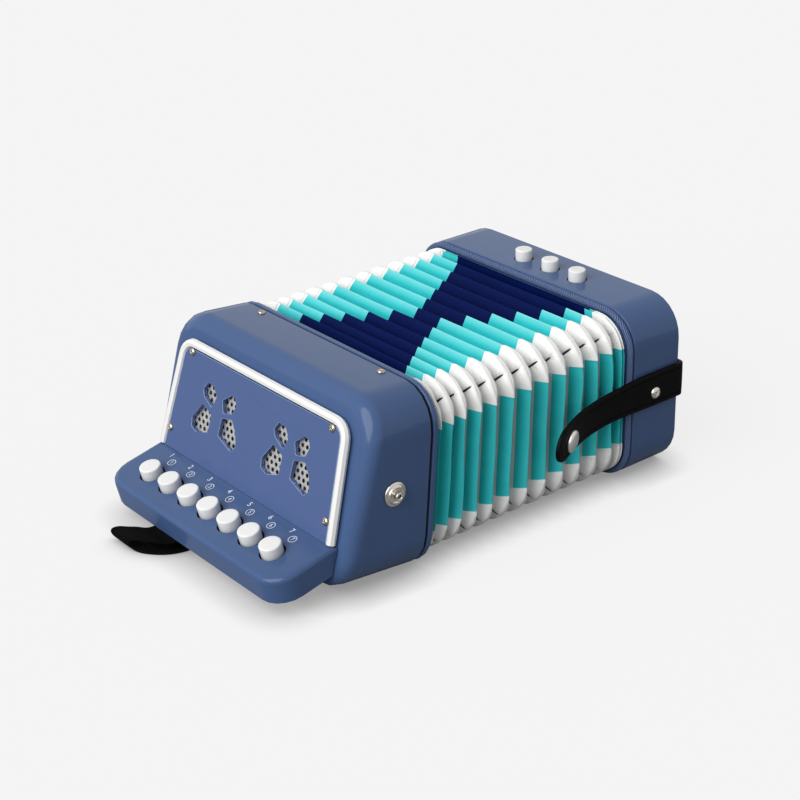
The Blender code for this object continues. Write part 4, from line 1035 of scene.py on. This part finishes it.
def tailRow(side, inset, height):
    # One line round the tail at a distance from its edge, from the upper root corner round the tip
    tip = tail["length"] - tail["tipHalf"]
    steps = tail["steps"]
    run = [-tail["root"] + (tip + tail["root"]) * i / steps for i in range(steps + 1)]
    row = [tailPoint(side, s, tailHalf(s, inset), height) for s in run]
    radius = tail["tipHalf"] - inset
    for i in range(1, tail["tipSteps"]):
        angle = math.pi * i / tail["tipSteps"]
        row.append(tailPoint(side, tip + radius * math.sin(angle), radius * math.cos(angle), height))
    row += [tailPoint(side, s, -tailHalf(s, inset), height) for s in reversed(run)]
    return row


def makeTail(name, side):
    bm = bmesh.new()
    grid = [
        [bm.verts.new(point) for point in tailRow(side, inset, height)]
        for inset, height in bandEdge(band["thickness"])
    ]
    count = len(grid[0])
    for first, second in zip(grid, grid[1:]):
        for i in range(count - 1):
            bm.faces.new((first[i], first[i + 1], second[i + 1], second[i]))
    for row in (grid[0], grid[-1]):  # the flat faces, in strips from edge to edge
        for i in range(count // 2):
            corners = dict.fromkeys((row[i], row[i + 1], row[count - 2 - i], row[count - 1 - i]))
            if len(corners) > 2:
                bm.faces.new(list(corners))
    bm.faces.new([row[0] for row in grid] + [row[-1] for row in reversed(grid)])
    piece = linkMesh(f"strap_tail_{name}_leather", bm, (blackLeather,), 40)
    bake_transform(piece)
    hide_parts(f"strap_tail_{name}")


# Snap caps, set a little askew: they look towards the bass end and down

snapCap = {
    "splay": math.tan(math.radians(8)),
    "dip": 0.1,
    "steps": 64,
    "profile": (
        (0, -0.6), (5.3, -0.6), (5.45, -0.3), (5.4, 0.2), (5.15, 0.65), (4.6, 1.05), (3.7, 1.4),
        (2.6, 1.62), (1.3, 1.73), (0, 1.76),
    ),
    "socketSteps": 48,
    "socket": (
        (0, -1.9), (2.1, -1.9), (2.2, -2.3), (2.5, -2.5), (4.1, -2.5), (4.5, -2.3), (4.6, -1.9),
        (4.4, -1.7), (0, -1.7),
    ),
}


def makeCap(name, side):
    place, above = [tailPoint(side, tail["capPlace"], -tail["capDrop"], height) for height in (0, mm)]
    askew = Vector((snapCap["splay"], 0, -snapCap["dip"]))
    matrix = axisMatrix(place, ((above - place).normalized() + askew).normalized())
    bm = bmesh.new()
    turnedMesh(bm, inMillimetres(snapCap["profile"]), snapCap["steps"], matrix)
    turnedMesh(bm, inMillimetres(snapCap["socket"]), snapCap["socketSteps"], matrix)
    cap = linkMesh(f"snap_cap_{name}_pressed", bm, (pressedSteel,), 50)
    placePiece(cap, f"strap_tail_{name}", "nickel_steel", f"snap_cap_{name}")


def bandMesh(name, stations, thickness, leather):
    # A station is a point of the outer face, the directions outward and across, and both edges
    bm = bmesh.new()
    loftRings(bm, [
        [place + across * a + outward * h for a, h in bandSection(low, high, thickness)]
        for place, outward, across, low, high in stations
    ])
    return linkMesh(name, bm, (leather,), 40)


def pathStations(points, side):
    # Each point of a path with the direction square to the path and the one across it
    stations = []
    for i, point in enumerate(points):
        along = (points[min(i + 1, len(points) - 1)] - points[max(i - 1, 0)]).normalized()
        stations.append((point, along.cross(side).normalized(), side))
    return stations


# Hand strap round the outer face of the bass end, bowed for the hand

handStrap = {"bend": 2 * mm, "bow": 14 * mm, "depth": 32.8 * mm, "steps": 48}


def makeHandStrap():
    thickness = band["thickness"]
    off = layout["gap"] + thickness
    outerX = bassX + handStrap["depth"]
    bend = handStrap["bend"] + thickness / 2
    edge = tail["sideFace"] + off - bend
    joint = bassX + tail["screwSetback"] + tail["root"]
    corner = outerX + off - bend
    half = [(joint + (corner - joint) * i / 4, -edge - bend) for i in range(5)]
    for i in range(1, 8):
        angle = math.pi / 2 * i / 8
        half.append((corner + bend * math.sin(angle), -edge - bend * math.cos(angle)))
    middle = []
    for i in range(handStrap["steps"] + 1):
        share = i / handStrap["steps"]
        bow = handStrap["bow"] * smoothstep(0, 0.45, min(share, 1 - share))
        middle.append((outerX + off + bow, edge * (2 * share - 1)))
    points = half + middle + [(x, -y) for x, y in reversed(half)]
    points = [Vector((x, y, tail["height"])) for x, y in points]
    edges = (-tail["rootHalf"], tail["rootHalf"])
    stations = [(*station, *edges) for station in pathStations(points, Vector((0, 0, 1)))]
    strap = bandMesh("hand_strap_leather", stations, thickness, blackLeather)
    placePiece(strap, "bass_end", "strap_leather", "hand_strap")


# Thumb strap: along the shelf's underside, round a loop in front and back below

thumbStrap = {
    "thickness": 1.2 * mm, "reach": 85.6 * mm, "height": 7.4 * mm, "root": 51 * mm, "bend": 71.5 * mm,
    "lift": 66 * mm, "free": 78 * mm, "lowSide": 9.5 * mm, "lowSweep": 18.5 * mm, "highSide": 29 * mm,
    "highSweep": 15 * mm, "shelfThickness": 12.5 * mm, "steps": 30, "loopSteps": 16,
}


def strapSeat(x):
    # Height of the leather's upper face where it lies along the shelf's underside
    under = shelfMatrix.to_3x3() @ Vector((0, 0, 1))
    corner = shelfMatrix @ Vector((0, 0, -thumbStrap["shelfThickness"] - layout["gap"]))
    return corner.z - under.x * (x + layout["shift"] - corner.x) / under.z


def makeThumbStrap():
    size = thumbStrap
    radius = size["height"] / 2
    straight = size["reach"] - radius
    path = []
    steps = size["steps"]
    for i in range(steps):
        reach = size["root"] + (straight - size["root"]) * i / steps
        seat = strapSeat(-reach)
        rise = smoothstep(size["bend"], size["free"], reach)
        path.append((reach, seat + (size["height"] - seat) * rise))
    for i in range(size["loopSteps"] + 1):
        angle = math.pi * i / size["loopSteps"]
        path.append((straight + radius * math.sin(angle), radius + radius * math.cos(angle)))
    for i in range(1, steps + 1):
        reach = straight + (size["root"] - straight) * i / steps
        rise = 1 - smoothstep(size["root"], size["lift"], reach)
        path.append((reach, rise * (strapSeat(-reach) - 2 * size["thickness"] - layout["gap"])))
    points = [Vector((layout["shift"] - reach, 0, z)) for reach, z in path]
    stations = []
    for (place, inward, across), (reach, z) in zip(pathStations(points, Vector((0, 1, 0))), path):
        out = max((reach - size["root"]) / (size["reach"] - size["root"]), 0)
        low = size["lowSide"] + size["lowSweep"] * out ** 4
        high = size["highSide"] + size["highSweep"] * out ** 4
        stations.append((place, -inward, across, low, high))
    strap = bandMesh("thumb_strap_leather", stations, size["thickness"], nappedLeather)
    placePiece(strap, "treble_end", "strap_leather", "thumb_strap")


for name, side in (("near", -1), ("far", 1)):
    makeTail(name, side)
    makeCap(name, side)
makeHandStrap()
makeThumbStrap()
print("stage: studs and straps made")


# Punched mesh behind the petals, with its holes staggered

punched = {
    "pitch": 3.35 * mm, "holeRadius": 1 * mm, "thickness": 0.9 * mm, "face": -2.2 * mm,
    "halfWidth": 49 * mm, "low": 31.5 * mm, "high": 66 * mm, "holeSides": 12, "rim": 0.08 * mm,
}


def makeGrilleMesh():
    size = punched
    pitch = size["pitch"]
    sides = size["holeSides"]
    hole = size["holeRadius"]
    face = size["face"]
    back = face - size["thickness"]
    rowStep = pitch * math.sqrt(3) / 2
    bm = bmesh.new()
    for row in range(int((size["high"] - size["low"]) / rowStep)):
        for column in range(int(2 * size["halfWidth"] / pitch)):
            u = -size["halfWidth"] + pitch * (column + 0.5 + 0.5 * (row % 2))
            v = size["low"] + rowStep * (row + 0.5)
            layers = [[], [], [], []]
            for k in range(sides):
                angle = 2 * math.pi * k / sides
                # Reach of the six-sided cell in this direction
                within = (angle + math.pi / 6) % (math.pi / 3) - math.pi / 6
                reach = pitch / 2 / math.cos(within)
                stops = ((reach, face), (hole, face - size["rim"]), (hole, back), (reach, back))
                for layer, (distance, height) in zip(layers, stops):
                    x = u + distance * math.cos(angle)
                    y = v + distance * math.sin(angle)
                    layer.append(bm.verts.new(frontMatrix @ Vector((x, y, height))))
            for first, second in zip(layers, layers[1:]):
                for k in range(sides):
                    n = (k + 1) % sides
                    bm.faces.new((first[k], first[n], second[n], second[k]))
    bmesh.ops.remove_doubles(bm, verts=bm.verts, dist=0.02 * mm)
    bmesh.ops.bridge_loops(bm, edges=[edge for edge in bm.edges if edge.is_boundary])
    piece = linkMesh("grille_mesh_sheet", bm, (punchedSteel,), 40)
    placePiece(piece, "treble_end", "grille_mesh", "grille_mesh")


makeGrilleMesh()


# Plain numbers beside the melody buttons

labels = {
    "size": 3.9 * mm, "plainOut": 3.1 * mm, "plainSide": -4.3 * mm, "ringOut": 6.45 * mm,
    "ringSide": 0.45 * mm, "ringRadius": 2.1 * mm, "ringWidth": 0.3 * mm, "ringText": 3.1 * mm,
    "film": 0.03 * mm, "ink": 0.04 * mm, "pitch": 15.73 * mm, "steps": 40,
}


def numberMesh(bm, text, size, matrix):
    curve = bpy.data.curves.new("number", "FONT")
    curve.body = text
    curve.size = size
    curve.extrude = labels["ink"] / 2
    curve.align_x = "CENTER"
    curve.align_y = "CENTER"
    holder = bpy.data.objects.new("number", curve)
    bpy.context.scene.collection.objects.link(holder)
    flat = bpy.data.meshes.new_from_object(holder.evaluated_get(bpy.context.evaluated_depsgraph_get()))
    flat.transform(matrix)
    bm.from_mesh(flat)
    bpy.data.objects.remove(holder)


def makeLabels():
    # A mark's own right runs along the row of buttons and its top points to the grille
    turned = shelfMatrix.to_3x3()
    axes = [turned @ Vector(axis) for axis in ((0, 1, 0), (-1, 0, 0), (0, 0, 1))]
    outer = labels["ringRadius"]
    inner = outer - labels["ringWidth"]
    half = labels["ink"] / 2
    corners = ((outer, half), (inner, half), (inner, -half), (outer, -half))
    bm = bmesh.new()
    for i in range(7):
        along = (i - 3) * labels["pitch"]
        place = shelfMatrix @ Vector((labels["plainOut"], along + labels["plainSide"], labels["film"]))
        numberMesh(bm, str(i + 1), labels["size"], axesMatrix(place, *axes))
        place = shelfMatrix @ Vector((labels["ringOut"], along + labels["ringSide"], labels["film"]))
        matrix = axesMatrix(place, *axes)
        numberMesh(bm, str(i + 1), labels["ringText"], matrix)
        rings = [circlePoints(matrix, radius, height, labels["steps"]) for radius, height in corners]
        loftRings(bm, rings, closed=True)
    piece = linkMesh("button_numbers", bm, (labelInk,))
    placePiece(piece, "treble_end", "white_plastic")


makeLabels()
print("stage: mesh and numbers made")


# Camera where the photograph was taken from

camera = {
    "place": (-0.472802, -0.600378, 0.407346),
    "right": (0.77512, -0.63137, -0.02351),
    "up": (0.28802, 0.31999, 0.90258),
    "lens": 81.567,
    "sensor": 36,
    "nearest": 10 * mm,
}


def makeCamera():
    right = Vector(camera["right"]).normalized()
    up = Vector(camera["up"])
    up = (up - right * up.dot(right)).normalized()
    data = bpy.data.cameras.new("camera")
    data.sensor_width = camera["sensor"]
    data.lens = camera["lens"]
    data.clip_start = camera["nearest"]
    lookout = bpy.data.objects.new("camera", data)
    lookout.matrix_world = axesMatrix(camera["place"], right, up, right.cross(up))
    bpy.context.scene.collection.objects.link(lookout)
    bpy.context.scene.camera = lookout


makeCamera()


# Studio: pale floor, a broad soft light high on the left and an even surround

studio = {
    "floorHalf": 4,
    "floorColour": "F4F4F4",
    "floorBounce": "A0A0A0",
    "background": 0.913,
    "surround": 0.39,
    "keyDirection": (-0.79, -0.03, 0.61),
    "keyStrength": 2.95,
    "keySpread": math.radians(55),
    "contactReach": 17 * mm,
    "contactOpen": (0.2, 0.97),
    "contactTone": 0.3,
    "floorShade": 0.1,
}


def makeLights():
    sun = bpy.data.lights.new("key light", "SUN")
    sun.energy = studio["keyStrength"]
    sun.angle = studio["keySpread"]
    key = bpy.data.objects.new("key light", sun)
    key.rotation_euler = Vector(studio["keyDirection"]).to_track_quat("Z", "Y").to_euler()
    bpy.context.scene.collection.objects.link(key)


def makeSurround():
    # Seen straight on or in a reflection it is the pale backdrop, and it lights the object less than that
    world = bpy.data.worlds.new("studio")
    bpy.context.scene.world = world
    world.use_nodes = True
    tree = world.node_tree
    backdrop = tree.nodes["Background"].inputs
    backdrop["Color"].default_value = (1, 1, 1, 1)
    path = addNode(tree, "ShaderNodeLightPath")
    seen = addNode(
        tree, "ShaderNodeMath", {"operation": "MAXIMUM"},
        {0: path["Is Camera Ray"], 1: path["Is Glossy Ray"]},
    )
    addNode(
        tree, "ShaderNodeMapRange", {3: studio["surround"], 4: studio["background"]}, {0: seen[0]},
        {0: backdrop["Strength"]},
    )


def makeFloor():
    # Pale paper, seen near the backdrop's level, with the object's shadow and a closer contact shadow
    bm = bmesh.new()
    bmesh.ops.create_grid(bm, x_segments=8, y_segments=8, size=studio["floorHalf"])
    material, tree, shader, tones, point = startMaterial(
        "paleStudioPaper", studio["floorBounce"], studio["floorColour"],
        {"Roughness": 0.9, "Specular IOR Level": 0},
    )
    path = addNode(tree, "ShaderNodeLightPath")
    addNode(tree, "ShaderNodeMix", tones, {0: path["Is Camera Ray"]}, {2: shader["Base Color"]})
    corner = addNode(
        tree, "ShaderNodeAmbientOcclusion", {"samples": 24, "Distance": studio["contactReach"]},
    )
    low, high = studio["contactOpen"]
    level = addNode(
        tree, "ShaderNodeMapRange",
        {1: low, 2: high, 3: studio["contactTone"], 4: studio["background"]}, {0: corner["AO"]},
    )
    glow = addNode(tree, "ShaderNodeEmission", None, {"Strength": level[0]})
    share = addNode(
        tree, "ShaderNodeMath", {"operation": "MULTIPLY", 1: 1 - studio["floorShade"]},
        {0: path["Is Camera Ray"]},
    )
    paper = tree.nodes["Principled BSDF"].outputs[0]
    surface = tree.nodes["Material Output"].inputs["Surface"]
    addNode(tree, "ShaderNodeMixShader", None, {0: share[0], 1: paper, 2: glow[0]}, {0: surface})
    linkMesh("studio_floor", bm, (material,))


def makeStudio():
    makeLights()
    makeSurround()
    makeFloor()
    bpy.context.scene.view_settings.view_transform = "Standard"


makeStudio()
print("stage: camera and studio set")

bpy.context.view_layer.update()
